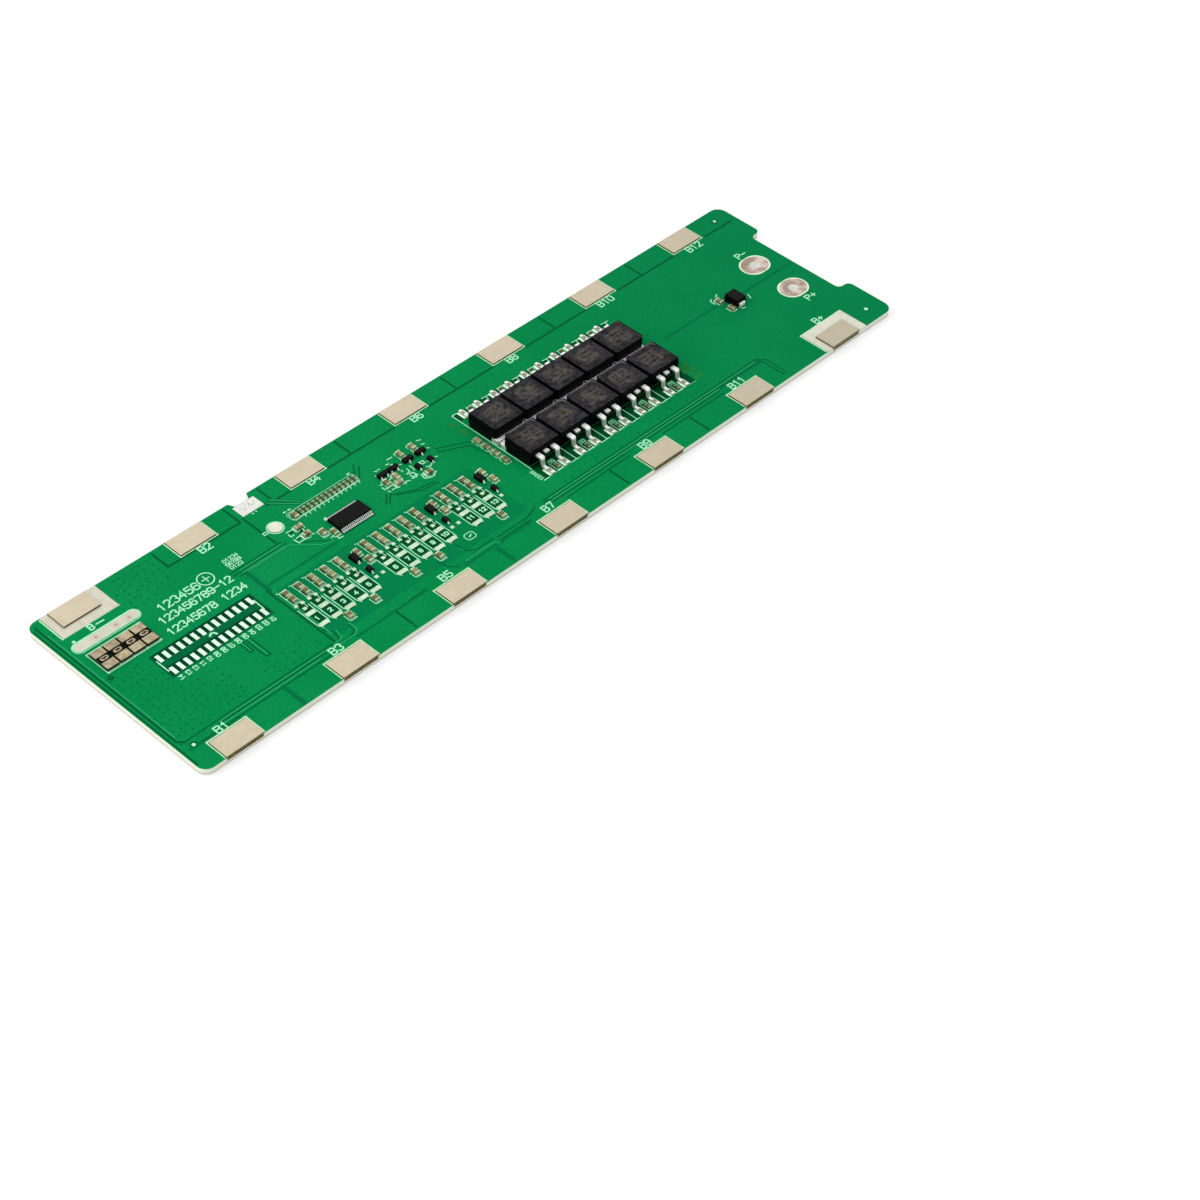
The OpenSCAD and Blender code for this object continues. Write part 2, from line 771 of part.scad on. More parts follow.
module zener_comb(size) {
  for (side = [0, 180]) rotate(side)
    gull_wing(size.x, size.x + 2 * zener_reach, size.z / 2, size.y / 3, small_lead_t,
              small_lead_in, small_foot_l);
}

module zener_moulding(size) {
  difference() {
    moulded_body(size.y, size.x, small_stand, size.z, size.z / 2);
    zener_comb(size);
  }
}

module each_zener() {
  each_cluster() translate([0, cluster_zener_y, 0]) children();
}

module each_small_zener() {
  each_cluster() translate([0, cluster_small_zener_y, 0]) children();
  for (p = upper_zeners) translate(at(p.x, p.y)) children();
}

module zener_bodies() {
  color(mould_black) {
    each_zener() zener_moulding(zener);
    each_small_zener() zener_moulding(zener_small);
  }
}

module zener_leads() {
  color(lead_silver) {
    each_zener() zener_comb(zener);
    each_small_zener() zener_comb(zener_small);
  }
}

// Large diode: its terminals leave at mid height and fold down and under the body
module diode_strips() {
  for (side = [0, 180]) rotate(side)
    bent_strip([[-diode_l / 2 + diode_lead_in, diode_h / 2], [-diode_l / 2 - diode_lead_out, diode_h / 2],
                [-diode_l / 2 - diode_lead_out, diode_lead_t / 2],
                [-diode_l / 2 - diode_lead_out + diode_foot_l, diode_lead_t / 2]],
               diode_lead_t, diode_lead_t, diode_lead_w);
}

module diode_body() {
  color(mould_black) translate(at(board_l - diode_end, diode_y)) difference() {
    moulded_body(diode_w, diode_l, small_stand, diode_h, diode_h / 2);
    diode_strips();
    // Pockets over the folded feet, with room round them
    for (side = [-1, 1]) translate([0, side * diode_l / 2, 0])
      cube([diode_lead_w, 2 * (diode_foot_l - diode_lead_out), 2 * diode_lead_t] + 2 * diode_room * [1, 1, 1],
           center = true);
  }
}

module diode_terminals() {
  color(lead_silver) translate(at(board_l - diode_end, diode_y)) diode_strips();
}

circuit_board();
tinned_field_b_minus();
tinned_field_b_plus();
tab_b_minus();
tab_b1();
tab_b2();
tab_b3();
tab_b4();
tab_b5();
tab_b6();
tab_b7();
tab_b8();
tab_b9();
tab_b10();
tab_b11();
tab_b12();
tab_b_plus();
terminal_p_minus();
terminal_p_plus();
solder_bar();
test_land();
shunt_1();
shunt_2();
shunt_3();
shunt_4();
shunt_coatings();
power_body_1();
power_body_2();
power_body_3();
power_body_4();
power_body_5();
power_body_6();
power_body_7();
power_body_8();
power_body_9();
power_body_10();
power_leads_1();
power_leads_2();
power_leads_3();
power_leads_4();
power_leads_5();
power_leads_6();
power_leads_7();
power_leads_8();
power_leads_9();
power_leads_10();
monitor_body();
monitor_leads();
connector_pads();
channel_pads();
chip_bodies();
chip_ends();
sense_chip_bodies();
sense_chip_ends();
transistor_bodies();
transistor_leads();
zener_bodies();
zener_leads();
diode_body();
diode_terminals();
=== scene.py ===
# %% [markdown]
# # A battery management board
#
# The board lies across thirteen cells and protects them. Its solids come from
# the CAD model: laminate, weld tabs, packages and lands. What this notebook
# adds is what a board gets last: copper seen through the mask, plugged holes,
# the white legend, solder at the joints and the marks on the packages. Most of
# it is thinner than a hair, so it is laid on the solids as fine surfaces.

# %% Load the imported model
import bpy
import numpy as np
from mathutils import Matrix, Vector


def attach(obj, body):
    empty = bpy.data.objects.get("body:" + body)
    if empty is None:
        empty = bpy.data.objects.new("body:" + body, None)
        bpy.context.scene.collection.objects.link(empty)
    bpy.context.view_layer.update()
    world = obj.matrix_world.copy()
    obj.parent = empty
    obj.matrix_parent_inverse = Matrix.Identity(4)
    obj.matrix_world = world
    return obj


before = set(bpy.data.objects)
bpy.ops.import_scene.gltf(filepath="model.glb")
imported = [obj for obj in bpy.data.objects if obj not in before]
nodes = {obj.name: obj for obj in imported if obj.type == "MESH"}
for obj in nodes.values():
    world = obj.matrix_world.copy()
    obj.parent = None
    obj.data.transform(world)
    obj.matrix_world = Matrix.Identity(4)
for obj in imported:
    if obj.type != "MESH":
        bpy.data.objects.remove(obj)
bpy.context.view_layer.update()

# %% [markdown]
# ## Camera
#
# A long lens from far away keeps the two long edges nearly parallel. The three
# directions below are the picture's right, up and towards the viewer, as rows of
# numbers in the board's frame. Setting a full rotation from them is exact, where
# aiming by hand at a target would leave the roll to chance.

# %% Place the camera
camera_data = bpy.data.cameras.new("camera")
camera_data.lens = 79.65
camera_data.clip_start = 0.01
camera_data.clip_end = 50
camera = bpy.data.objects.new("camera", camera_data)
bpy.context.scene.collection.objects.link(camera)
right = Vector((0.68388446, -0.72805573, 0.04729583))
up = Vector((0.48172002, 0.49927852, 0.72018524))
towards = -Vector((0.54794879, 0.46974015, -0.69216784))
place = Vector((-0.344336, -0.331634, 0.414140))
camera.matrix_world = Matrix.Translation(place) @ Matrix((right, up, towards)).transposed().to_4x4()
bpy.context.scene.camera = camera
print("camera at", [round(v, 3) for v in place])

# %% [markdown]
# ## Writing materials as sums
#
# A procedural finish is arithmetic on a few textures. Wiring each product and
# sum by hand hides that, so a small class wraps a socket and turns Python's own
# operators into Math nodes. Every other node is made by one method, add, that
# takes the node's type, its settings and what goes into its sockets.


# %% The socket class and the finish class
def operator(operation):
    """The method behind one of Python's signs: it adds a Math node of this operation."""
    return lambda wire, *others: wire.math(operation, *others)


class Wire:
    """A number socket: sums, differences, products and powers of wires add Math nodes."""

    def __init__(self, graph, socket):
        self.graph = graph
        self.socket = socket

    def math(self, operation, *others):
        """A Math node that takes this wire first and the others after it."""
        return self.graph.add("ShaderNodeMath", {"operation": operation}, dict(enumerate((self, *others))))

    __add__, __sub__, __mul__ = operator("ADD"), operator("SUBTRACT"), operator("MULTIPLY")
    __truediv__, __pow__, __abs__ = operator("DIVIDE"), operator("POWER"), operator("ABSOLUTE")

    def __rsub__(self, other):
        return self.math("MULTIPLY_ADD", -1.0, other)

    def step(self, low, high):
        """0 below low, 1 above high and smooth between."""
        return self.graph.add("ShaderNodeMapRange", {"interpolation_type": "SMOOTHSTEP"},
                              {"Value": self, "From Min": low, "From Max": high})

    def band(self, start, full, fall, end):
        """1 from full to fall, 0 below start and above end, and smooth between."""
        return self.step(start, full) * (1 - self.step(fall, end))


def linear(colour):
    """Screen colour of 0 to 255 as linear light: ((c + 0.055) / 1.055) ** 2.4."""
    c = np.asarray(colour, float) / 255
    return (*np.where(c <= 0.04045, c / 12.92, ((c + 0.055) / 1.055) ** 2.4), 1.0)


class Graph:
    """A node tree and the few ways in which nodes are added to it."""

    def __init__(self, tree):
        self.tree = tree

    def put(self, socket, value):
        """Links a wire to the socket, or sets the socket to a plain value."""
        if isinstance(value, Wire):
            self.tree.links.new(value.socket, socket)
        elif value is not None:
            socket.default_value = value

    def add(self, kind, settings=None, inputs=None, output=0):
        node = self.tree.nodes.new(kind)
        for key, value in (settings or {}).items():
            setattr(node, key, value)
        for key, value in (inputs or {}).items():
            self.put(node.inputs[key], value)
        return Wire(self, node.outputs[output])

    def place(self):
        """The point's place in the board's frame, in metres."""
        return self.add("ShaderNodeTexCoord", output="Object")

    def grid_uv(self):
        """Two wires: a piece's own UV along its rows and across them."""
        uv = self.add("ShaderNodeUVMap", {"uv_map": "UVMap"})
        return self.axis(uv, "X"), self.axis(uv, "Y")

    def axis(self, vector, letter):
        """The X, Y or Z of a vector."""
        return self.add("ShaderNodeSeparateXYZ", None, {"Vector": vector}, letter)

    def upward(self):
        """1 where the face looks straight up or down, 0 where it stands upright."""
        return abs(self.axis(self.add("ShaderNodeNewGeometry", output="Normal"), "Z"))

    def noise(self, scale, detail=2.0, stretch=(1, 1, 1)):
        """Cloudy noise from 0 to 1 with scale blobs a metre."""
        spot = self.add("ShaderNodeMapping", None, {"Vector": self.place(), "Scale": stretch})
        return self.add("ShaderNodeTexNoise", None, {"Vector": spot, "Scale": scale, "Detail": detail})

    def mix(self, amount, *ends):
        """The first end where amount is 0, the second where it is 1: each a wire or a screen colour."""
        first, second = (end if isinstance(end, Wire) else linear(end) for end in ends)
        return self.add("ShaderNodeMix", {"data_type": "RGBA"}, {"Factor": amount, 6: first, 7: second}, 2)

    def bump(self, height, depth):
        """A normal bent by height, which is depth metres deep at full strength."""
        return self.add("ShaderNodeBump", None, {"Height": height, "Distance": depth, "Strength": 1.0})

    def seen(self):
        """1 for rays that show a thing to the camera, straight or by mirror or glass, else 0."""
        straight, mirrored, bent = (self.add("ShaderNodeLightPath", output=f"Is {kind} Ray")
                                    for kind in ("Camera", "Glossy", "Transmission"))
        return straight.math("MAXIMUM", mirrored).math("MAXIMUM", bent)


class Finish(Graph):
    """A material with one Principled shader, filled in by arithmetic on wires."""

    def __init__(self, name, **constants):
        self.material = bpy.data.materials.new(name)
        self.material.use_nodes = True
        super().__init__(self.material.node_tree)
        self.shader = self.tree.nodes["Principled BSDF"]
        self.use(**constants)

    def use(self, **values):
        """Fills the shader's sockets by name, with _ for a space."""
        for key, value in values.items():
            self.put(self.shader.inputs[key.replace("_", " ")], value)
        return self.material


print("class ready: 1 - wire, wire * wire and wire ** 2 all make nodes")

# %% [markdown]
# ## Light
#
# Product boards are shot under broad white light, so that no lamp shows as a hot
# spot in the mask. The sky gives most of the light, and two large soft lamps add
# a little shape. The floor and the sky look whiter to the camera than they are
# to the board: the light path tells the camera's own rays from the rest.

# %% Sky, lamps and floor
bpy.context.scene.view_settings.view_transform = "Standard"
world = bpy.data.worlds.new("sky")
bpy.context.scene.world = world
world.use_nodes = True
sky = Graph(world.node_tree)
background = world.node_tree.nodes["Background"]
sky.put(background.inputs["Color"], (1, 1, 1, 1))
sky.put(background.inputs["Strength"], sky.seen() * 0.28 + 0.72)


def soft_lamp(name, spot, size, watts):
    """A square area lamp at spot that faces the board's middle."""
    data = bpy.data.lights.new(name, "AREA")
    data.energy = watts
    data.size = size
    lamp = bpy.data.objects.new(name, data)
    bpy.context.scene.collection.objects.link(lamp)
    lamp.location = spot
    lamp.rotation_euler = (-Vector(spot)).to_track_quat("-Z", "Y").to_euler()
    return lamp


lamps = [soft_lamp("key_lamp", (-0.75, 0.35, 0.85), 0.8, 6.5),
         soft_lamp("fill_lamp", (0.5, 0.9, 1.0), 0.9, 2.5)]


def floor_finish():
    """Pale floor: half of what the camera sees is a glow, so the shadow stays soft."""
    f = Finish("floor_white", Roughness=1.0, Specular_IOR_Level=0.0)
    shown = f.seen()
    f.use(Base_Color=f.mix(shown, (238, 238, 238), (170, 170, 170)))
    glow = f.add("ShaderNodeEmission", None, {"Strength": shown * 0.6})
    total = f.add("ShaderNodeAddShader", None, {0: Wire(f, f.shader.outputs[0]), 1: glow})
    f.put(f.tree.nodes["Material Output"].inputs["Surface"], total)
    return f.material


HALF_FLOOR, FLOOR_Z = 6.0, -0.0004
CORNERS = ((-1, -1), (1, -1), (1, 1), (-1, 1))
ground = bpy.data.meshes.new("floor")
ground.from_pydata([(HALF_FLOOR * a, HALF_FLOOR * b, FLOOR_Z) for a, b in CORNERS], [], [(0, 1, 2, 3)])
floor = bpy.data.objects.new("floor", ground)
bpy.context.scene.collection.objects.link(floor)
ground.materials.append(floor_finish())
print("lamps:", [(lamp.name, lamp.data.energy) for lamp in lamps], "floor's width in m:", 2 * HALF_FLOOR)

# %% [markdown]
# ## Mask, copper gaps and laminate edge
#
# The board's green is a clear varnish over copper. Where the copper is etched
# away the varnish lies on dark laminate, so tracks show as light bands between
# darker lines. Towards the terminals the green carries a painted shade. The
# sides are sawn laminate: cream, with the weave's layers as faint lines, a green
# tint where the varnish ends and a brown band under the weld tabs. One material
# serves the whole solid, and takes its parts by the height of the point. The far
# face has a cream varnish on this board.

# %% Finishes of the board
BOARD_T = 1.6e-3
TAB_X, TAB_PITCH = -103.8e-3, 33.3e-3
BANK_MID, PACK_EDGE, PACK_PITCH = 1.15e-3, 2.9e-3, 10.6e-3
VARNISH = {"Roughness": 0.5, "Specular_IOR_Level": 0.012}


def mask_colour(finish):
    """Green of the varnish: slow clouds, a fine speckle and a painted shade that darkens it slowly towards
    the terminals.
    """
    clouds = finish.noise(38, 3.0)
    speckle = finish.noise(1300, 2.0)
    near = finish.mix((clouds * 0.5 + speckle * 0.5).step(0.4, 0.66), (1, 129, 69), (8, 139, 77))
    # Painted shade: the green darkens towards +x, the terminals' end, where the light falls off.
    return finish.mix(finish.axis(finish.place(), "X").step(-0.02, 0.14) * 0.5, near, (0, 114, 70))


def cream_colour(finish):
    """Cream of the far face, in slow clouds."""
    return finish.mix(finish.noise(30, 3.0).step(0.3, 0.7), (247, 237, 208), (240, 228, 196))


def board_finish():
    """Green above, cream below and sawn laminate between, told apart by the point's height.

    The laminate's layers are a sine of the height. The brown band under a tab lies close to its middle,
    and folding x at every half pitch gives the distance from it.
    """
    f = Finish("board_varnish", **VARNISH)
    place = f.place()
    x, y, z = (f.axis(place, letter) for letter in "XYZ")
    top = z.step(BOARD_T - 0.00008, BOARD_T - 0.00001)
    below = 1 - z.step(0.00001, 0.00006)
    layers = (z * 21000).math("SINE") * 0.5 + 0.5
    fibres = f.noise(900, 3.0, (1, 1, 4))
    sawn = f.mix(layers * 0.25 + fibres * 0.3, (246, 247, 234), (204, 204, 186))
    rim = f.mix(z.step(0.0007, 0.0013), sawn, (222, 242, 214))
    foot = f.mix(z.step(0.0001, 0.0004), (168, 166, 150), rim)
    along = (x - (TAB_X - 2 * TAB_PITCH)).math("PINGPONG", TAB_PITCH / 2)
    # A brown band on the near (-y) side, from about 0.7 mm up, under each tab's middle.
    flux = (1 - along.step(0.0048, 0.0054)) * z.step(0.0006, 0.0008) * (1 - y.step(-0.0299, -0.0297))
    side = f.mix(flux * (fibres * 0.5 + 0.7), foot, (92, 74, 34))
    painted = f.mix(top, side, mask_colour(f))
    relief = f.noise(420, 2.0)
    return f.use(Base_Color=f.mix(below, painted, cream_colour(f)), Normal=f.bump(relief, 0.000008))


def gap_finish(name, deep, reach):
    """Etched gap: deep green in its middle, fading into the varnish at both sides."""
    f = Finish(name, **VARNISH)
    middle = 1 - abs(f.grid_uv()[1] * 2 - 1)
    return f.use(Base_Color=f.mix(middle.step(0.0, reach), mask_colour(f), deep))


def bank_field_shadow_finish():
    """Bare laminate between the feet, dark green, with a painted shadow that turns it nearly black under the
    packages and just in front of them.
    """
    f = Finish("bank_laminate_shadow", **VARNISH)
    # Painted shadow: within about 10 mm of the bank's middle the field is nearly black, fading out by 12.7
    # mm.
    out = abs(f.axis(f.place(), "Y") - BANK_MID).step(0.0099, 0.0127)
    fine = f.noise(1500, 3.0)
    return f.use(Base_Color=f.mix(out * (fine * 0.5 + 0.7), (0, 14, 6), (0, 78, 42)))


def two_tone(name, first, second, grain=700, rough=0.5, shine=0.012):
    """A plain finish that wavers between two tones."""
    f = Finish(name, Roughness=rough, Specular_IOR_Level=shine)
    return f.use(Base_Color=f.mix(f.noise(grain, 3.0).step(0.3, 0.7), first, second))


gap = gap_finish("etched_gap", (0, 82, 46), 0.8)
soft_gap = gap_finish("soft_gap", (0, 106, 62), 1.0)
ridge = gap_finish("track_ridge", (46, 164, 108), 0.9)
bare_varnish = two_tone("bare_laminate", (0, 84, 44), (0, 66, 34))
row_varnish = two_tone("row_laminate", (0, 106, 60), (0, 92, 50))
pad_gap = two_tone("pad_gap_laminate", (0, 70, 38), (0, 54, 30))
bank_shadow_varnish = bank_field_shadow_finish()
thin_varnish = two_tone("thin_copper_laminate", (1, 125, 70), (0, 120, 70), 120)


def finish_nodes(material, *names):
    """Gives every solid whose name starts with one of names its material."""
    chosen = [node for key, node in nodes.items() if key.startswith(names)]
    for node in chosen:
        node.data.materials.clear()
        node.data.materials.append(material)
    print(f"{material.name}: {len(chosen)} solids")


finish_nodes(board_finish(), "circuit_board")

# %% [markdown]
# ## Metals
#
# Rolled nickel tabs are warm and faintly streaked along the strip; their sheared
# sides carry a painted brown shade, a painted reflection of the dark room.
# Levelled tin on the lands is pale, and plated leads are the brightest metal here.
# None of them is a clean mirror, which would show the room, so each is only
# partly metallic with a soft roughness. Small lands look greener than large ones,
# because the varnish round them bleeds into them.

# %% Finishes of the metals
def gate_shade_places(f):
    """1 beside the feet of the power transistors, where the gate chips stand in the packages' painted shade,
    else 0.
    """
    place = f.place()
    out = abs(f.axis(place, "Y") - BANK_MID)
    return out.step(0.0122, 0.0126) * f.axis(place, "X").band(0.001, 0.002, 0.058, 0.06)


def pack_place(f):
    """Place on a power package: x from its edge, by a modulo of the pitch, and y from the bank's middle."""
    place = f.place()
    x = (f.axis(place, "X") - PACK_EDGE).math("FLOORED_MODULO", PACK_PITCH)
    return x, f.axis(place, "Y") - BANK_MID


def metal(name, light, dark, rough, grain, stretch=(1, 1, 1), side=None, metallic=0.7, depth=4e-6,
          gate_shade=False):
    """Two tones mixed by grain; a side colour, painted shade, takes over where the face stands upright.

    With gate_shade, the metal gets a painted olive shade beside the feet of the power transistors.
    """
    f = Finish(name, Metallic=metallic, Specular_IOR_Level=0.4)
    fine = f.noise(grain, 3.0, stretch)
    broad = f.noise(160, 2.0)
    colour = f.mix((fine * 0.6 + broad * 0.4).step(0.3, 0.7), light, dark)
    # Painted shade: upright faces take the darker side colour.
    if side is not None:
        colour = f.mix(f.upward().step(0.2, 0.8), side, colour)
    if gate_shade:
        # Painted shade: olive beside the power transistors' feet, where the packages shade the chips.
        colour = f.mix(gate_shade_places(f) * 0.5, colour, (92, 112, 76))
    return f.use(Base_Color=colour, Roughness=fine * 0.12 + rough, Normal=f.bump(fine, depth))


def terminal_finish():
    """Land of a terminal: a barrel wall painted near white as painted light, flux-stained tin round it and a
    pale rim.

    The ring runs by the oval radius sqrt((x / 4.4) ** 2 + (y / 3.6) ** 2) in millimetres from
    the hole. Taking the distance from the line between the holes serves both at once.
    """
    f = Finish("terminal_tin", Metallic=0.45, Specular_IOR_Level=0.4)
    place = f.place()
    x = (f.axis(place, "X") - 0.1026) / 0.0044
    y = (abs(f.axis(place, "Y") + 0.0003) - 0.00655) / 0.0036
    r = (x * x + y * y) ** 0.5
    fine = f.noise(1400, 3.0)
    swirl = f.noise(330, 3.0)
    stained = f.mix((swirl * 0.8 + fine * 0.2).step(0.4, 0.62), (150, 130, 114), (206, 190, 178))
    land = f.mix(r.step(0.9, 0.95), stained, (214, 236, 204))
    # Painted light: the barrel's upright wall is near white, as if lit deep inside the hole.
    return f.use(Base_Color=f.mix(f.upward().step(0.2, 0.8), (246, 246, 242), land),
                 Roughness=fine * 0.12 + 0.36, Normal=f.bump(swirl, 6e-5))


def lead_finish():
    """Bright plating, with a green-grey painted shade on upright faces; flux stains the flat of each foot.

    The cropped middle leads of the far row lie in the package's shade, which is painted on them as a dark
    green-grey.
    """
    f = Finish("power_lead_plating", Metallic=0.1, Specular_IOR_Level=0.4)
    x, out = pack_place(f)
    flat = f.upward()
    fine = f.noise(1800, 3.0)
    plated = f.mix(fine.step(0.3, 0.7), (255, 255, 252), (236, 240, 234))
    stained = f.mix(fine.step(0.3, 0.7), (146, 144, 122), (104, 102, 82))
    foot = abs(out).band(0.0136, 0.0141, 0.0149, 0.0153) * flat.step(0.8, 0.95)
    # Painted shade: the far row's cropped stubs are dark green-grey, and upright faces a paler green-grey.
    shaded_stub = out.band(0.0099, 0.0100, 0.01095, 0.0110) * (1 - abs(x - PACK_PITCH / 2).step(0.0009, 0.0012))
    bright = f.mix(flat.step(0.1, 0.7), (160, 180, 162), plated)
    with_painted_shade = f.mix(shaded_stub * 0.8, bright, (40, 70, 46))
    return f.use(Base_Color=f.mix(foot, with_painted_shade, stained),
                 Roughness=fine * 0.12 + 0.24, Normal=f.bump(fine, 4e-6))


# The side colours below are painted shade; on the nickel the brown side also stands for the dark room that it
# reflects.
nickel = metal("rolled_nickel", (188, 177, 154), (181, 170, 148), 0.36, 1400, (0.3, 1, 1), (96, 76, 34), 0.6)
tinned = metal("levelled_tin", (200, 196, 180), (186, 183, 166), 0.4, 1200, (1, 0.25, 1), (178, 176, 150),
               0.45)
bright_tin = metal("bright_tin", (216, 216, 200), (202, 202, 188), 0.4, 1200, side=(178, 176, 150),
                   metallic=0.45)
pad_tin = metal("pad_tin", (188, 214, 186), (164, 190, 158), 0.34, 1500, metallic=0.6, depth=8e-6)
row_tin = metal("row_tin", (204, 230, 208), (186, 214, 192), 0.34, 1500, metallic=0.6, depth=8e-6)
end_tin = metal("end_tin", (188, 206, 174), (134, 152, 118), 0.34, 1500, metallic=0.6, depth=8e-6, gate_shade=True)
sense_tin = metal("sense_tin", (160, 188, 150), (122, 150, 112), 0.34, 1500, metallic=0.5)
leads = metal("plated_leads", (246, 250, 246), (226, 232, 226), 0.24, 1800, metallic=0.35)
shunt_alloy = metal("shunt_blocks", (176, 164, 134), (132, 116, 92), 0.4, 900, side=(64, 52, 32),
                    metallic=0.6)
finish_nodes(nickel, "tab_")
finish_nodes(tinned, "tinned_field_b_minus", "solder_bar")
finish_nodes(bright_tin, "tinned_field_b_plus", "test_land")
finish_nodes(terminal_finish(), "terminal_")
finish_nodes(lead_finish(), "power_leads")
finish_nodes(leads, "monitor_leads", "transistor_leads", "zener_leads", "diode_terminals")
finish_nodes(row_tin, "connector_pads")
finish_nodes(pad_tin, "channel_pads")
finish_nodes(end_tin, "chip_ends")
finish_nodes(sense_tin, "sense_chip_ends")
finish_nodes(shunt_alloy, "shunt_1", "shunt_2", "shunt_3", "shunt_4")

# %% [markdown]
# ## Moulding compound and ceramic
#
# Packages are black epoxy full of ground glass, moulded against a spark-eroded
# tool. Their top faces carry a painted sheen, grey in blotches, and their sides
# painted shade, black. The ceramic of the small chips varies from beige to brown
# from one reel to the next. Slow noise over the board gives each chip its own
# tone, as a random choice per chip would, and stays the same in every run.

# %% Finishes of the packages
def moulding(name, dark, light, side, rough, shine, patches=700, edges=None):
    """Two greys as a painted sheen on faces that look up and black painted shade on the sides, with fine peel
    and patches.

    edges, where given, adds a package's brown bloom and its painted edge highlight and shade to the grey of
    its top.
    """
    f = Finish(name, Specular_IOR_Level=shine)
    peel = f.noise(5200, 2.0)
    cloud = f.noise(patches, 5.0)
    top = f.mix((peel * 0.3 + cloud * 0.7).step(0.38, 0.64), dark, light)
    if edges is not None:
        top = edges(f, top)
    # Painted sheen on faces that look up, painted shade on the upright sides.
    colour = f.mix(f.upward().step(0.45, 0.9), side, top)
    return f.use(Base_Color=colour, Roughness=cloud * 0.12 + rough, Normal=f.bump(peel, 0.00001))


def bloom_and_edge_light(f, top):
    """A brown bloom round the marks, a painted highlight along the soft edge that the drafted side turns
    into, and painted shade, near black, beyond it.

    The highlight is a line close to where x on the package reaches the body's width.
    """
    x, y = pack_place(f)
    across, along = abs(x - PACK_PITCH / 2), abs(abs(y) - 0.0060)
    marked = (1 - across.step(0.0024, 0.0040)) * (1 - along.step(0.0018, 0.0034))
    bloom = f.mix(marked * f.noise(900, 5.0).step(0.4, 0.66) * 0.75, top, (92, 86, 78))
    # Painted highlight: a pale line along the top's edge; painted shade beyond it.
    line = x.band(0.00958, 0.00966, 0.00968, 0.00976) * f.noise(500, 2.0).step(0.4, 0.6)
    edge_highlit = f.mix(line * 0.7, bloom, (104, 104, 110))
    return f.mix(x.step(0.0097, 0.0098), edge_highlit, (7, 7, 8))


def ceramic_finish():
    """Beige to brown; the gate chips beside the feet of the power transistors get a painted olive shade."""
    f = Finish("chip_ceramic", Roughness=0.45, Specular_IOR_Level=0.08)
    reel = f.noise(420, 0.0)
    grain = f.noise(4000, 2.0)
    pale = f.mix(grain.step(0.3, 0.7), (162, 156, 112), (142, 134, 92))
    dark = f.mix(grain.step(0.3, 0.7), (118, 116, 78), (96, 94, 58))
    chip = f.mix(reel.step(0.42, 0.6), pale, dark)
    # Painted shade: the gate chips turn olive.
    return f.use(Base_Color=f.mix(gate_shade_places(f) * 0.85, chip, (66, 80, 46)))


power_moulding = moulding("power_moulding", (22, 21, 26), (52, 50, 53), (3, 3, 4), 0.5, 0.05, 800, bloom_and_edge_light)
small_moulding = moulding("small_moulding", (8, 8, 9), (16, 15, 16), (4, 4, 4), 0.42, 0.05)
black_coating = moulding("black_coating", (8, 8, 7), (12, 11, 10), (4, 4, 4), 0.45, 0.03)
finish_nodes(power_moulding, "power_body")
finish_nodes(small_moulding, "monitor_body", "transistor_bodies", "zener_bodies", "diode_body")
finish_nodes(black_coating, "shunt_coatings")
finish_nodes(ceramic_finish(), "chip_bodies")
finish_nodes(two_tone("sense_ceramic", (118, 132, 90), (94, 106, 70), 900, 0.45, 0.05), "sense_chip_bodies")
print("unfinished solids:", [n for n, o in nodes.items() if not o.data.materials])

# %% [markdown]
# ## Strokes, panels and discs
#
# Everything printed or etched on the board is a stroke of some width along a
# path, a panel or a dot. Each is worked out as a grid of points: rows along the
# path and columns across it. The grids of one layer are joined into one mesh, so
# the legend is one piece however many strokes it has.
#
# The artwork is drawn on a fine grid, as a board designer would do it. One step
# is 0.6042 mm, x counts from the negative end and y from the edge with tab B1.
# A path is written as a row of x, y, x, y and so on, and widths are in
# millimetres. Where strokes cross they would lie in one plane, so each row of
# points climbs by a few tenths of a micron, as wet ink does.

# %% Stroke, panel and disc as grids of points
STEP = 0.6042
HALF_L, HALF_W, TOP = 115.0, 30.0, 1000 * BOARD_T


def metres(points, lift, scale=STEP):
    """Grid steps (or millimetres with scale 1) from the corner as points of the board's frame."""
    points = np.asarray(points, float) * scale
    z = np.broadcast_to(TOP + np.asarray(lift, float), points.shape[:-1])
    return np.stack([points[..., 0] - HALF_L, points[..., 1] - HALF_W, z], -1) / 1000


def stroke(path, width, lift, scale=STEP, columns=3):
    """Rows along the path, columns across it.

    At a corner the row lies on the bisector and is longer by 1 / cos(half the turn), so both
    sides run parallel to the path. Each end gets two shorter rows, at the sines and cosines
    of 67.5 degrees, which round it off.
    """
    p = np.reshape(path, (-1, 2)).astype(float)
    half = width / 2 / scale
    ahead = np.diff(p, axis=0)
    ahead /= np.linalg.norm(ahead, axis=1)[:, None]
    before, after = np.vstack([ahead[:1], ahead]), np.vstack([ahead, ahead[-1:]])
    along = before + after
    along /= np.maximum(np.linalg.norm(along, axis=1), 1e-9)[:, None]
    reach = half / np.maximum((along * after).sum(1), 0.45)
    s, c = np.sin(np.radians(67.5)) * half, np.cos(np.radians(67.5)) * half
    p = np.vstack([p[0] - s * ahead[0], p[0] - c * ahead[0], p, p[-1] + c * ahead[-1], p[-1] + s * ahead[-1]])
    along = np.vstack([along[:1], along[:1], along, along[-1:], along[-1:]])
    reach = np.concatenate([[c, s], reach, [s, c]])
    side = np.stack([-along[:, 1], along[:, 0]], 1) * reach[:, None]
    climb = lift + 0.0004 * np.arange(len(p))[:, None]
    return metres(p[:, None] + np.linspace(-1, 1, columns)[None, :, None] * side[:, None], climb, scale)


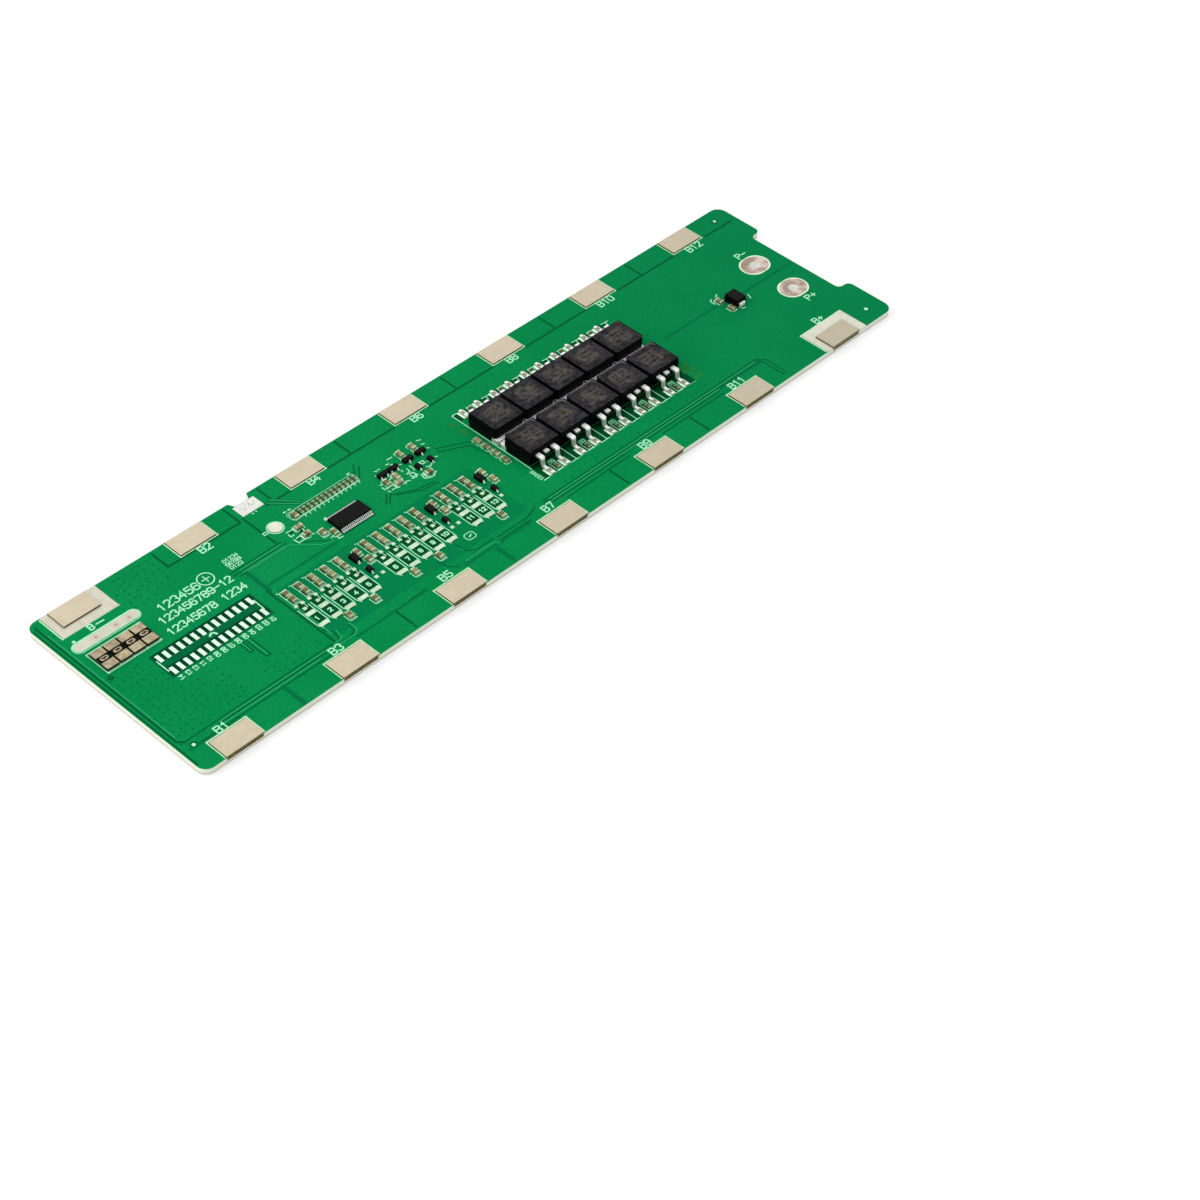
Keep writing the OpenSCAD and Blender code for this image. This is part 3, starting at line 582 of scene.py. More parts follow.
def panel(x0, x1, y0, y1, lift):
    """A rectangle as a grid of two rows."""
    return metres([[(x0, y0), (x0, y1)], [(x1, y0), (x1, y1)]], lift)


def square(cells):
    """u and v of a square grid: each runs from -1 to 1, u along the rows and v across them."""
    return np.meshgrid(*[np.linspace(-1, 1, cells + 1)] * 2, indexing="ij")


def disc(x, y, radius, lift):
    """A round dot with no pole: the square (u, v) maps to (u sqrt(1 - v v / 2), v sqrt(1 - u u / 2))."""
    u, v = square(4)
    a, b = u * np.sqrt(1 - v * v / 2), v * np.sqrt(1 - u * u / 2)
    return metres(np.stack([x + radius * a, y + radius * b], -1), lift)


def mound(x, y, length, width, lift, height):
    """A cushion of solder in millimetres: height times (1 - u^8)(1 - v^8) over a rectangle."""
    u, v = square(6)
    z = lift + height * (1 - u ** 8) * (1 - v ** 8)
    return metres(np.stack([x + u * length / 2, y + v * width / 2], -1), z, 1.0)


def lay(name, grids, material, smooth=False, under=False):
    """One mesh from many grids: each cell of a grid is a quad, and its UV is its place in the grid.

    Grids that follow each other lie 1.7 microns apart in height, in turns of four, so that two
    that cross don't share a plane.
    """
    verts, faces, coords, start = [], [], [], 0
    for i, g in enumerate(grids):
        rows, cols = g.shape[:2]
        index = start + np.arange(rows * cols).reshape(rows, cols)
        quads = np.stack([index[:-1, :-1], index[1:, :-1], index[1:, 1:], index[:-1, 1:]], -1).reshape(-1, 4)
        uv = np.stack(np.meshgrid(np.linspace(0, 1, rows), np.linspace(0, 1, cols), indexing="ij"), -1)
        verts.append(g.reshape(-1, 3) + [0, 0, (-1 if under else 1) * 1.7e-6 * (i % 4)])
        coords.append(uv.reshape(-1, 2))
        faces.append(quads[:, ::-1] if under else quads)
        start += rows * cols
    verts, faces, coords = np.vstack(verts), np.vstack(faces), np.vstack(coords)
    mesh = bpy.data.meshes.new(name)
    mesh.from_pydata(verts.tolist(), [], faces.tolist())
    layer = mesh.uv_layers.new(name="UVMap")
    layer.data.foreach_set("uv", coords[faces.ravel()].ravel())
    mesh.polygons.foreach_set("use_smooth", np.full(len(faces), smooth))
    mesh.update()
    piece = bpy.data.objects.new(name, mesh)
    bpy.context.scene.collection.objects.link(piece)
    mesh.materials.append(material)
    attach(piece, "root")
    print(f"{name}: {len(grids)} grids, {len(faces)} faces")


print("points of a short stroke and of a dot:", stroke((0, 0, 9, 0), 0.5, 0).shape, disc(0, 0, 1, 0).shape)

# %% [markdown]
# ## Copper under the mask
#
# The pours leave etched gaps round every net. The widest carry the cell voltages
# along both long edges to their tabs, and pairs of thin gaps mark the sense
# tracks that run beside them. Each gap is a stroke whose colour fades to the
# varnish at both sides, as light does in a thick varnish. Where a track is
# narrow, its raised back catches the light as a pale line.

# %% Etched gaps
POUR_Z, GAP_Z, VIA_Z, INK_Z = 0.004, 0.012, 0.022, 0.032
thin = [
    (3, 16, 74, 16), (19, 14.3, 70, 14.3), (77, 14.3, 82, 14.3, 84.6, 15.6, 85.2, 19),
    (5, 12.1, 70, 12.1), (50.1, 39, 50.1, 33.2, 51.5, 33.2, 51.5, 39),
    (52.9, 39, 52.9, 27.8, 54.9, 27.8, 54.9, 39), (76, 24, 78.4, 21, 78.4, 17.5, 77, 16),
    (72, 69.4, 97, 69.4), (72, 67.6, 98, 67.6), (74, 65.8, 99.5, 65.8, 107, 61, 111.5, 56.5),
    (107, 90, 116, 81), (108.6, 90, 117.4, 81.2), (110.2, 90, 118.8, 81.4), (141, 76, 147, 83),
    (142.4, 74.6, 148, 81), (140.6, 57.8, 144.4, 61.4), (141.8, 57, 146, 61),
    (145.6, 60, 155, 55.6, 163, 54.4), (147, 58.6, 156, 54, 164, 52.8),
    (143.4, 23.6, 144.2, 17.6, 147, 15.6, 156, 15.4), (139, 13.6, 155, 13.8, 157.4, 11.4),
    (132.5, 21, 133, 16, 136, 13.4), (158, 14.8, 174, 14.8, 180, 16.6), (158, 13, 174, 13),
    (186, 17.4, 311, 17.4, 314.6, 14.4, 314.6, 3.4), (187, 15.9, 310, 15.9, 312.6, 13.6, 312.6, 3.4),
    (188, 14.3, 229, 14.3), (242, 14.3, 285, 14.3), (110, 13, 118, 13), (194, 12.2, 229, 12.2),
    (249, 12.2, 285, 12.2), (176, 66, 188, 60, 190, 50), (177, 68, 190, 61.5),
]
broad = [
    (58, 97.5, 58, 88.2, 93.4, 88.2, 93.4, 98), (95.4, 89, 95.4, 70.4), (110.6, 90.4, 110.6, 98),
    (107.4, 88.6, 120, 88.6),
    *[(x0, 88.4, x1, 88.4) for x0, x1 in ((139, 174), (193, 230), (248, 286), (304, 341), (360, 377))],
    *[(x, 89, x, 98) for x in (151, 209, 266.4, 319.4)],
    *[(x, 12, x, 1.6) for x in (102.3, 217, 264)], (75.6, 53, 75.6, 16.6),
]
lines = [stroke(p, 0.5, GAP_Z) for p in thin] + [stroke(p, 0.85, GAP_Z) for p in broad]
lines += [stroke((0.75, 95, 0.75, 5), 0.6, GAP_Z), stroke((2.4, 96, 2.4, 18, 4.4, 16), 0.8, GAP_Z)]
lay("etched_gaps", lines, gap)

# %% Soft bands, ridges and bare fields
FIELD_Z, DEEP_Z = 0.008, 0.0105
wide = [(47, 12, 47, 1.8), (76.6, 66, 76.6, 53), (153.6, 12, 153.6, 2.6), (295, 52.4, 327, 52.4),
        (341, 50.6, 372, 50.6), (84, 12.6, 118, 12.6), (139, 12.2, 173, 12.2), (78, 55, 112, 55)]
bands = [stroke(p, 2.2 if k < 3 else 1.2, GAP_Z - 0.003) for k, p in enumerate(wide)]
bands += [stroke((4, 11.7, 25.5, 11.7), 1.5, GAP_Z - 0.003),
          stroke((186, 15.7, 311, 15.7), 2.6, GAP_Z - 0.005)]
lay("soft_gaps", bands, soft_gap)
ridges = [
    (20, 15.1, 72, 15.1), (20, 13.3, 66, 13.3), (50.8, 39, 50.8, 34), (53.9, 39, 53.9, 28.6),
    (75, 14, 84, 14, 86, 15.5, 86, 20), (75, 15.5, 79, 16, 79.8, 20), (108, 89.5, 117, 80.5),
    (110, 90, 118, 81.5), (143.5, 24, 143.5, 19, 146, 16, 156, 15.5), (140, 13.8, 155, 13.8, 156.5, 12),
    (188, 16.6, 310, 16.6), (188, 15.1, 286, 15.1), (76, 68.5, 96, 68.5), (76, 66.8, 97, 66.8),
    (78, 66, 99, 66, 107, 58, 112, 56.2), (3.4, 90, 3.4, 20), (77.6, 52, 77.6, 20),
]
lay("track_ridges", [stroke(p, 0.4, GAP_Z + 0.004) for p in ridges], ridge)
CHANNELS = [(i, group) for group, count in enumerate((5, 5, 3)) for i in range(count)]
channel_x = [79.28 + 6.455 * i + 39.56 * group for i, group in CHANNELS]
lay("connector_fields", [panel(21.8, 70.2, 42.4, 56.6, FIELD_Z), panel(108.9, 142.6, 75.2, 79.4, FIELD_Z)],
    row_varnish)
deep = [panel(22.8, 69.6, y - 2.3, y + 2.3, DEEP_Z) for y in (46, 54)]
deep += [panel(117.2, 133.4, y - 1.15, y + 1.15, DEEP_Z) for y in (57.2, 66.3)]
deep += [disc(x, y, 0.8, DEEP_Z) for x, y in ((103.5, 70.9), (106.6, 68.5), (103.5, 66.6))]
lay("pad_gap_fields", deep, pad_gap)
bare = [panel(x - 2.5, x + 2.5, 24.6, 39.6, FIELD_Z) for x in channel_x]
bare += [panel(x - 1.6, x + 1.6, 40.6, 48.8, FIELD_Z) for x in channel_x]
lay("bare_laminate_fields", bare, bare_varnish)
lay("bank_laminate_shadow_fields", [panel(195.7, 283.4, y0, y1, FIELD_Z) for y0, y1 in ((25.6, 34.6), (72.8, 77.4))],
    bank_shadow_varnish)
lay("thin_copper_fields", [panel(77.6, 178, 17.8, 51, POUR_Z)], thin_varnish)

# %% [markdown]
# ## Plugged holes
#
# Hundreds of small plated holes join the layers. The varnish plugs them, so each
# shows as a dark dot with a slightly lighter rim. A dot is a small grid with no
# pole, and its material turns the grid's own UV into a radius.

# %% Holes
def dot_finish(name, base, rim, core, inner=0.5):
    """Radial finish: core colour up to inner, then the rim colour, then the base at the edge.

    With a, b from -1 to 1 over the grid, the disc's radius is
    sqrt(a a (1 - b b / 2) + b b (1 - a a / 2)).
    """
    f = Finish(name, **VARNISH)
    a, b = (wire * 2 - 1 for wire in f.grid_uv())
    r = ((a * a) * (1 - b * b * 0.5) + (b * b) * (1 - a * a * 0.5)) ** 0.5
    ring = f.mix(r.step(0.6, 0.98), rim, base(f))
    return f.use(Base_Color=f.mix(r.step(inner * 0.6, inner * 1.4), core, ring))


def scattered(x0, x1, y0, y1, pitch, share, seed):
    """Places on a loose grid: regular places moved by up to a quarter pitch, a share of them kept."""
    rng = np.random.default_rng(seed)
    x, y = np.meshgrid(np.arange(x0, x1, pitch), np.arange(y0, y1, pitch))
    spots = np.stack([x.ravel(), y.ravel()], 1) + rng.uniform(-0.25, 0.25, (x.size, 2)) * pitch
    return spots[rng.random(x.size) < share]


patches = [(5, 21, 19, 57, 3.1, 0.85), (24, 37, 20, 37, 3.1, 0.7), (48, 72, 19, 26, 3.3, 0.8),
           (35, 57, 80, 98, 3.2, 0.85), (290, 330, 58, 84, 6, 0.5), (200, 284, 19.5, 24, 3.9, 0.7),
           (196, 282, 79.5, 86, 5.0, 0.4), (84, 112, 3, 9, 6, 0.2)]
lone = [(302.6, 35), (332.4, 37.6), (298.6, 79.6), (306, 72.2), (299.4, 69.6), (305, 68), (306.6, 65),
        (312.6, 72), (319.2, 72), (324.8, 62.6), (4.6, 88.4), (287, 22), (284, 21.4), (262, 21.6)]
spots = np.vstack([scattered(*patch, seed) for seed, patch in enumerate(patches, 1)] + [lone])
via_top = dot_finish("plugged_hole", mask_colour, (12, 142, 82), (0, 78, 42), 0.55)
lay("plugged_holes", [disc(x, y, 0.62, VIA_Z) for x, y in spots], via_top, smooth=True)
rings = [disc(x, y, r, VIA_Z - 0.004) for x, y, r in
         ((371.4, 93, 1.9), (371.4, 7.4, 1.9), (5.9, 12.8, 1.9), (6, 58, 1.5))]
lay("mask_openings", rings, dot_finish("opening_ring", mask_colour, (0, 84, 44), (0, 104, 56), 0.4))


def tin_colour(finish):
    """Pale levelled tin, in small clouds."""
    return finish.mix(finish.noise(500), (206, 206, 186), (192, 190, 170))


residue = dot_finish("flux_residue", tin_colour, (206, 198, 178), (186, 166, 140), 0.42)
BAR_Z = 0.206
on_bar = [disc(x, y, r, BAR_Z) for x, y, r in ((15.2, 77.5, 1.9), (24.4, 77.5, 1.9), (30.3, 77.2, 1.8))]
lay("bar_residue", on_bar, residue, smooth=True)
stained = [*scattered(191.6, 193.6, 66, 77, 2.6, 0.7, 21), *scattered(285.4, 288, 27, 36, 2.6, 0.7, 22)]
lay("flux_stains", [disc(x, y, 2.0, GAP_Z) for x, y in stained],
    dot_finish("flux_stain", mask_colour, (14, 128, 64), (44, 124, 52)))

# %% [markdown]
# ## Legend
#
# The legend is pale ink pushed through a screen. Board fonts are drawn with one
# pen width on an eight-sided skeleton, which is how the strokes below are made.
# Only plain designations are printed: tab names, terminal signs and numbers.

# %% Ink and the pen font
ink = two_tone("legend_ink", (184, 246, 208), (146, 226, 178), 2600, 0.6, 0.05)
tab_ink = two_tone("tab_ink", (206, 250, 208), (172, 234, 172), 2600, 0.6, 0.05)
faint_ink = two_tone("faint_ink", (132, 216, 164), (84, 186, 126), 1800, 0.6, 0.05)
PEN = {
    "0": [(1, 0, 3, 0, 4, 1, 4, 5, 3, 6, 1, 6, 0, 5, 0, 1, 1, 0)],
    "1": [(0.8, 4.8, 2.2, 6, 2.2, 0)],
    "2": [(0, 5, 1, 6, 3, 6, 4, 5, 4, 4, 0, 0, 4, 0)],
    "3": [(0, 5, 1, 6, 3, 6, 4, 5, 4, 4.2, 3, 3.2, 4, 2.2, 4, 1, 3, 0, 1, 0, 0, 1)],
    "4": [(3, 0, 3, 6, 0, 2, 4, 2)],
    "5": [(4, 6, 0.4, 6, 0.2, 3.4, 3, 3.5, 4, 2.6, 4, 1, 3, 0, 1, 0, 0, 1)],
    "6": [(4, 5, 3, 6, 1, 6, 0, 5, 0, 1, 1, 0, 3, 0, 4, 1, 4, 2.4, 3, 3.4, 0.4, 3.2)],
    "7": [(0, 6, 4, 6, 1.6, 0)],
    "8": [(1, 3.2, 0, 4.2, 0, 5, 1, 6, 3, 6, 4, 5, 4, 4.2, 3, 3.2, 1, 3.2, 0, 2.2, 0, 1, 1, 0, 3, 0,
           4, 1, 4, 2.2, 3.2, 3)],
    "9": [(0, 1, 1, 0, 3, 0, 4, 1, 4, 5, 3, 6, 1, 6, 0, 5, 0, 3.6, 1, 2.6, 3.6, 2.8)],
    "B": [(0, 0, 0, 6, 3, 6, 4, 5, 4, 4.2, 3, 3.2, 4, 2.2, 4, 1, 3, 0, 0.3, 0), (0.6, 3.2, 2.6, 3.2)],
    "P": [(0, 0, 0, 6, 3, 6, 4, 5, 4, 4, 3, 3, 0.6, 3)],
    "+": [(0, 3, 4, 3), (2, 1.2, 2, 2.7), (2, 3.3, 2, 4.8)],
    "-": [(0, 3, 4, 3)],
    " ": [],
}


def lettering(text, x, y, height, pen, turn=0):
    """Strokes of a text whose middle is at (x, y); turn is in degrees from +X."""
    size = height / 6
    c, s = np.cos(np.radians(turn)), np.sin(np.radians(turn))
    grids = []
    for i, mark in enumerate(text):
        for line in PEN[mark]:
            p = np.reshape(line, (-1, 2)) * size + [((i - len(text) / 2) * 5.4 + 0.7) * size, -height / 2]
            grids.append(stroke(p @ np.array([[c, s], [-s, c]]) + [x, y], pen, INK_Z, columns=2))
    return grids


names = [("B1", 18.2, 12.4), ("B3", 73.2, 13), ("B5", 128.8, 13.2), ("B7", 184.2, 13.4), ("B9", 238.8, 12.8),
         ("B11", 294.2, 12.8), ("B2", 74.6, 86.6), ("B4", 129.8, 87.2), ("B6", 184.8, 87), ("B8", 238.8, 87),
         ("B10", 294.8, 86.8), ("B12", 350.8, 86.8), ("B+", 351, 16.9), ("P-", 361.2, 68.8),
         ("P+", 361.2, 29.4)]
letters = [g for text, x, y in names for g in lettering(text, x, y, 3.3, 0.38)]
letters += lettering("B", 17.3, 83, 2.8, 0.38)
letters.append(stroke((19.6, 82.9, 23, 82.7), 0.38, INK_Z, columns=2))
for text, x, y in (("123456", 50.2, 73.2), ("123456789-12", 53.8, 67.6), ("12345678 1234", 53.8, 61.2)):
    letters += lettering(text, x, y, 3.6 if len(text) == 6 else 3.2, 0.38)
for k, text in enumerate(("01234", "56789", "0123")):
    letters += lettering(text, 77.6 - 0.4 * k, 76 - 2.3 * k, 1.6, 0.22)
for k in range(14):
    letters += lettering(f"{14 - k:02d}", 24.4 + 3.31 * k, 40.8, 1.6, 0.25, 90)
for k, x in enumerate(channel_x):
    letters += lettering(str(k + 1), x, 29.7, 1.8, 0.34)
lay("legend_letters", letters, ink)

# %% [markdown]
# ### Outlines of the legend
#
# Each part has an outline or a pair of brackets that helps the inspector. The
# outlines repeat with the parts, so they come from short rules: one for a
# channel, one for a chip, one for a power transistor.

# %% Outlines
ink_lines = []


def arc(start, end):
    """Points of a unit circle at every 15 degrees from start to end."""
    angle = np.radians(np.arange(start, end + 1, 15))
    return np.stack([np.cos(angle), np.sin(angle)], 1)


def draw(path, pen=0.24):
    """One more stroke of ink."""
    ink_lines.append(stroke(path, pen, INK_Z, columns=2))


def draw_box(x0, x1, y0, y1, pen, cut):
    """A rectangle with its corners cut off by cut steps."""
    draw((x0 + cut, y0, x1 - cut, y0, x1, y0 + cut, x1, y1 - cut,
          x1 - cut, y1, x0 + cut, y1, x0, y1 - cut, x0, y0 + cut, x0 + cut, y0), pen)


around = [(x - 8.95, 0.5, x - 8.95, 10.5, x + 9.2, 10.5, x + 9.2, 0.5)
          for x in (18.54, 73.65, 128.76, 183.88, 239, 294.1)]
around += [(x - 8.95, 98.7, x - 8.95, 88.85, x + 9.2, 88.85, x + 9.2, 98.7)
           for x in (73.65, 128.76, 183.88, 239, 294.1, 349.2)]
around += [(5.95, 98.4, 5.95, 84.95, 32.1, 84.95), (336.7, 0.6, 336.7, 14.6, 362.4, 14.6, 362.4, 0.6)]
lay("tab_outlines", [stroke(p, 0.32, INK_Z, columns=2) for p in around], tab_ink)
circle, cap = arc(0, 360), arc(-90, 90)
connector = [(0.3, (22.9, 53, 22.9, 46.4, 23.6, 46.4)), (0.3, (68.2, 52.6, 68.8, 52.6, 68.6, 46.6)),
             (0.5, (45.1, 49.6, 46.1, 50.4, 47.3, 50, 47.7, 48.8))]
shunts = [(0.7, (7.2, 60.6, 31.4, 60.6)), (0.24, (6.9, 61, 6.9, 72.9, 31.7, 72.9))]
test_point = [(0.26, (97.6, 76.4, 95.2, 76.2, 95.2, 77.6, 97.6, 77.3)), (0.32, [100.96, 76.8] + 3.3 * circle)]
crossed_ring = [(0.32, [63.6, 73.6] + 3.3 * circle), (0.3, (61.9, 73.6, 65.3, 73.6)),
                (0.3, (63.6, 71.9, 63.6, 75.3))]
for pen, path in connector + shunts + test_point + crossed_ring:
    draw(path, pen)
for radius, lift in ((2.75, INK_Z), (2.22, BAR_Z)):
    rim = np.vstack([[32.4, 77.45] + radius * cap, [7.6, 77.45] - radius * cap, [(32.4, 77.45 - radius)]])
    ink_lines.append(stroke(rim, 0.27, lift, columns=2))
for x in channel_x:
    draw_box(x - 1.75, x + 1.75, 40.4, 48.9, 0.2, 0.5)
    draw((x - 1.7, 44.7, x + 1.7, 44.7), 0.3)
    draw((x - 1.9, 48.9, x - 2.6, 49.3), 0.24)
    draw((x - 2.6, 37.4, x - 2.6, 26.6, x - 1.6, 24.6))
    draw((x + 2.6, 37.4, x + 2.6, 26.6, x + 1.9, 24.8))
    draw((x - 0.6, 36.6, x + 1.6, 36.6, x + 1.6, 38.4), 0.2)
for x in (88.6, 101.4, 121.9, 134.7, 167.8):
    draw((x - 1.6, 23.6, x - 1.6, 20.6, x - 1, 20, x + 1.5, 20, x + 1.5, 20.9))
    for y in (21.4, 22.4, 23.4):
        draw((x + 1.3, y, x + 2.2, y + 0.3), 0.22)
draw_box(148.8, 153.2, 20.8, 24.4, 0.22, 0.8)
draw((150.4, 22.2, 151.8, 23), 0.36)
draw_box(108.5, 143, 75, 79.6, 0.14, 0.7)
draw((109.4, 74.8, 142.6, 74.8), 0.26)
for k in range(13):
    draw((114.1 + 2.317 * k, 74.6, 113.8 + 2.317 * k, 73.5), 0.24)
for x, y in ((109.2, 80.9), (111.5, 80.9), (141.8, 80.6)):
    draw((x - 0.5, y, x + 0.5, y), 0.36)
draw((117.4, 66.6, 117.4, 67.6, 118.6, 67.6), 0.2)
ink_lines += [disc(x, y, r, INK_Z) for x, y, r in
              ((118.2, 67.9, 0.42), (8, 81.2, 0.7), (5.9, 12.8, 0.8), (371.4, 93, 0.8), (371.4, 7.4, 1.0),
               (100.2, 88.8, 0.4), (101.9, 88.8, 0.4))]
print("outlines so far:", len(ink_lines))

# %% Outlines round the clusters and the power transistors
def chip_outline(x, y, upright=True, pen=0.22):
    """Two brackets round a chip whose middle is at (x, y), open at its middle."""
    for side in (-1, 1):
        u = np.array([(-1.5, 0.5), (-1.5, 1.7), (-1.1, 2.2), (1.1, 2.2), (1.5, 1.7), (1.5, 0.5)]) * [1, side]
        draw((u if upright else u[:, ::-1]) + [x, y], pen)


for x, y in ((112, 62.1), (115.2, 59.2), (110.7, 76.7), (148.8, 66), (153.9, 66), (164, 74.8), (170.6, 74.8)):
    chip_outline(x, y)
for x, y in ((107.2, 70.8), (106.8, 65.9), (152.3, 63.1), (165, 59.4)):
    chip_outline(x, y, False)
for x0 in (110.38, 149.94, 176.4):
    for px, py in ((3.1, 45), (4.0, 39.2)):
        chip_outline(x0 + px, py)
for k in range(4):
    chip_outline(191.8, 44 + 5.13 * k, pen=0.18)
marks = [
    (102, 71.8, 103.2, 71.7, 104.9, 71.6, 105.7, 70.9), (101.8, 70.4, 101.8, 68.9, 103.3, 69),
    (101.5, 67, 101.6, 65.3, 101.8, 64.3, 103.6, 64.4, 105.5, 64.2, 107.1, 63.7),
    (102.7, 66.9, 104.9, 67, 105.5, 65.3), (107.9, 68.8, 107.1, 66.6), (109, 64.6, 109.5, 64.1),
    (110.4, 61.6, 110.6, 59.9, 112.4, 59.7), (112.4, 58.1, 114.2, 58.5),
    (114.7, 57.5, 114.3, 55.8, 116.2, 55.6), (174.7, 76.5, 176.3, 75.9), (174.6, 73.7, 175.8, 73.2),
    (174.6, 70.6, 175.4, 70.1), (173.3, 64.5, 174.3, 64.2), (158.5, 76.2, 160.9, 76),
    (156, 74.3, 157.2, 74), (157.3, 73, 158.2, 72.8), (150.2, 74.5, 150.9, 73.9),
    (151.8, 74.5, 152.5, 74.1), (148.6, 72.2, 149.3, 71.8), (146.1, 67.1, 146.8, 66.7),
    (145.8, 65.5, 145.9, 64, 147.5, 63.8, 149.4, 63.9), (146.2, 62.4, 146.5, 61.6),
    (147.8, 61.9, 149.6, 61.9, 150.8, 61.2), (153.3, 68.8, 152.5, 67.4, 150.5, 66.6),
    (153.9, 61, 155.4, 61.8, 156.6, 61.2), (158.2, 67.9, 158.1, 67),
    (160.4, 67, 160.1, 65.1, 158.2, 64.7), (158.9, 64, 160.7, 63.9, 160.8, 62.2, 159, 61.7, 158.6, 63.2),
    (158, 61.5, 159.7, 61, 161.2, 61.8), (166.4, 66.4, 168.2, 66.3, 168.1, 64.7, 166.6, 65, 166.4, 66.4),
    (169.1, 64.9, 170, 64, 169.7, 62.6, 168.2, 61.8, 166.8, 62.6),
    (162.2, 60.9, 161.5, 58.2, 163.3, 57.1, 165.3, 56.8, 167.8, 58.3),
    (162.3, 67.5, 162.5, 66.2, 162.1, 64.3), (159.5, 70.7, 160.7, 70.4), (328, 52, 328, 54.8, 329, 55.6),
    (327, 53.6, 327, 56, 328.2, 56.8), (328.4, 48.4, 328.4, 45.6), (329, 44.8, 331.6, 44.8),
    (333.2, 44, 335, 43.4), (341.4, 46, 342.4, 48.4), (331, 56.6, 332.6, 57.6),
]
for path in marks:
    draw(path, 0.3)
draw((198, 77.6, 195.4, 77.6, 195.4, 33.4), 0.26)
draw((194.2, 25.2, 197, 25.2), 0.26)
PACKS, PACK_STEPS = 5, 17.55
for k in range(1, PACKS):
    x = PACK_STEPS * k
    draw((195.2 + x, 25.4, 195.2 + x, 34.4))
    draw((192.2 + x, 25.3, 196.4 + x, 25.3))
numbers = [stroke((197, 25.3, 283.4, 25.3), 0.14, INK_Z - 0.004, columns=2)]
ink_lines += lettering("12345", 194.3, 29.2, 1.5, 0.24, 90)
for k in range(PACKS):
    x = 213 + PACK_STEPS * k
    draw((x - 1.4, 77.2, x + 2.4, 77))
    draw((x + 0.8, 76.8, x + 0.6, 75.2))
    draw_box(x - 10, x - 7.2, 73.6, 77.4, 0.24, 0.2)
    draw_box(x - 10.4, x - 7.6, 25.6, 31.6, 0.16, 0.2)
    draw((x - 10.4, 25.7, x - 7.6, 25.7), 0.34)
    numbers += lettering(str(k + 1), x - 9.4, 31.2, 1.7, 0.36) + lettering("0", x - 8, 31.2, 1.7, 0.36)
lay("gate_numbers", numbers, faint_ink)
lay("legend_outlines", ink_lines, ink)
block_ink = two_tone("block_ink", (232, 232, 226), (214, 216, 208), 1200, 0.6, 0.1)
lay("legend_block", [panel(96.3, 106.8, 89.8, 96.2, INK_Z)], block_ink)
pencil = two_tone("pencil_tick", (196, 188, 184), (208, 202, 198), 1200, 0.6, 0.1)
ticks = [(98, 94, 99.6, 92, 101, 94.6), (101.6, 92.4, 102.8, 94.4, 103.6, 92.2), (104.2, 93, 105.4, 94.4)]
lay("pencil_ticks", [stroke(p, 0.2, INK_Z + 0.012, columns=2) for p in ticks], pencil)

# %% [markdown]
# ## Solder
#
# Solder wets a land and climbs the metal that stands on it, so its free surface
# is hollow at the sides of a lead and crowned over a bare land. A crowned
# cushion serves for lands under the feet of the power transistors. A quarter of
# a hollow arc, swept across the width, serves for the end of every chip.

# %% Solder on the feet and the chip ends
REACH, FILLET_Z = 0.26, 0.006


def toe(x, y, turn, width, height):
    """Hollow fillet from the end face at height down to the board, REACH out from it.

    Seen from the side it is a quarter circle, swept over the width. It points along +Y
    before it is turned.
    """
    t, s = np.meshgrid(np.linspace(0, np.pi / 2, 5), np.linspace(-1, 1, 4), indexing="ij")
    out, z = REACH * (1 - np.cos(t)), height * (1 - np.sin(t)) + FILLET_Z
    side = -s * width / 2 * (1 + 0.12 * np.sin(t))
    c, d = np.cos(np.radians(turn)), np.sin(np.radians(turn))
    return metres(np.stack([x + side * c - out * d, y + side * d + out * c], -1), z, 1.0)


def foot_finish():
    """Solder of a foot: flux-stained in the middle and bright at its rim."""
    f = Finish("foot_solder", Metallic=0.3, Specular_IOR_Level=0.4)
    a, b = (abs(wire * 2 - 1) for wire in f.grid_uv())
    edge = a.math("MAXIMUM", b)
    fine = f.noise(1800, 3.0)
    flat = f.mix(fine.step(0.3, 0.7), (160, 156, 134), (112, 108, 86))
    return f.use(Base_Color=f.mix(edge.step(0.4, 0.6), flat, (216, 240, 216)),
                 Roughness=fine * 0.15 + 0.28, Normal=f.bump(fine, 1e-5))


PITCH = 1000 * PACK_PITCH
BANK_X, BANK_Y = HALF_L + 1000 * (PACK_EDGE + PACK_PITCH / 2), HALF_W + 1000 * BANK_MID
FOOT_SIDE, FOOT_OUT, BODY_OUT = 2.54, 14.35, 5.75
feet = [mound(BANK_X + PITCH * k + side, BANK_Y + row * FOOT_OUT, 2.2, 2.6, 0.01, 0.08)
        for k in range(PACKS) for side in (-FOOT_SIDE, FOOT_SIDE) for row in (-1, 1)]
lay("foot_solder", feet, foot_finish(), smooth=True)

ends = []
channel_mm = [47.9 + 3.9 * i + 23.9 * group for i, group in CHANNELS]
upright = [(x, 15.1 + y) for x in channel_mm for y in (10.8, 13)]
upright += [(47.9 + 23.9 * group + width + a, 15.1 + b) for group, width in enumerate((18.8, 18.8, 10.9))
            for a, b in ((1.9, 12.1), (2.4, 8.6))]
upright += [(53.5, 13.5), (61.3, 13.5), (73.7, 13.5), (81.4, 13.5), (101.4, 13.5), (66.9, 46.3), (67.7, 37.5),
            (69.6, 35.8), (89.9, 39.9), (93, 39.9), (99.1, 45.2), (103.1, 45.2)]
upright += [(115.9, 26.6 + 3.1 * k) for k in range(4)] + [(199.1, 32.2), (199.4, 28.2)]
for x, y in upright:
    ends += [toe(x, y + 1, 0, 1.2, 0.4), toe(x, y - 1, 180, 1.2, 0.4)]
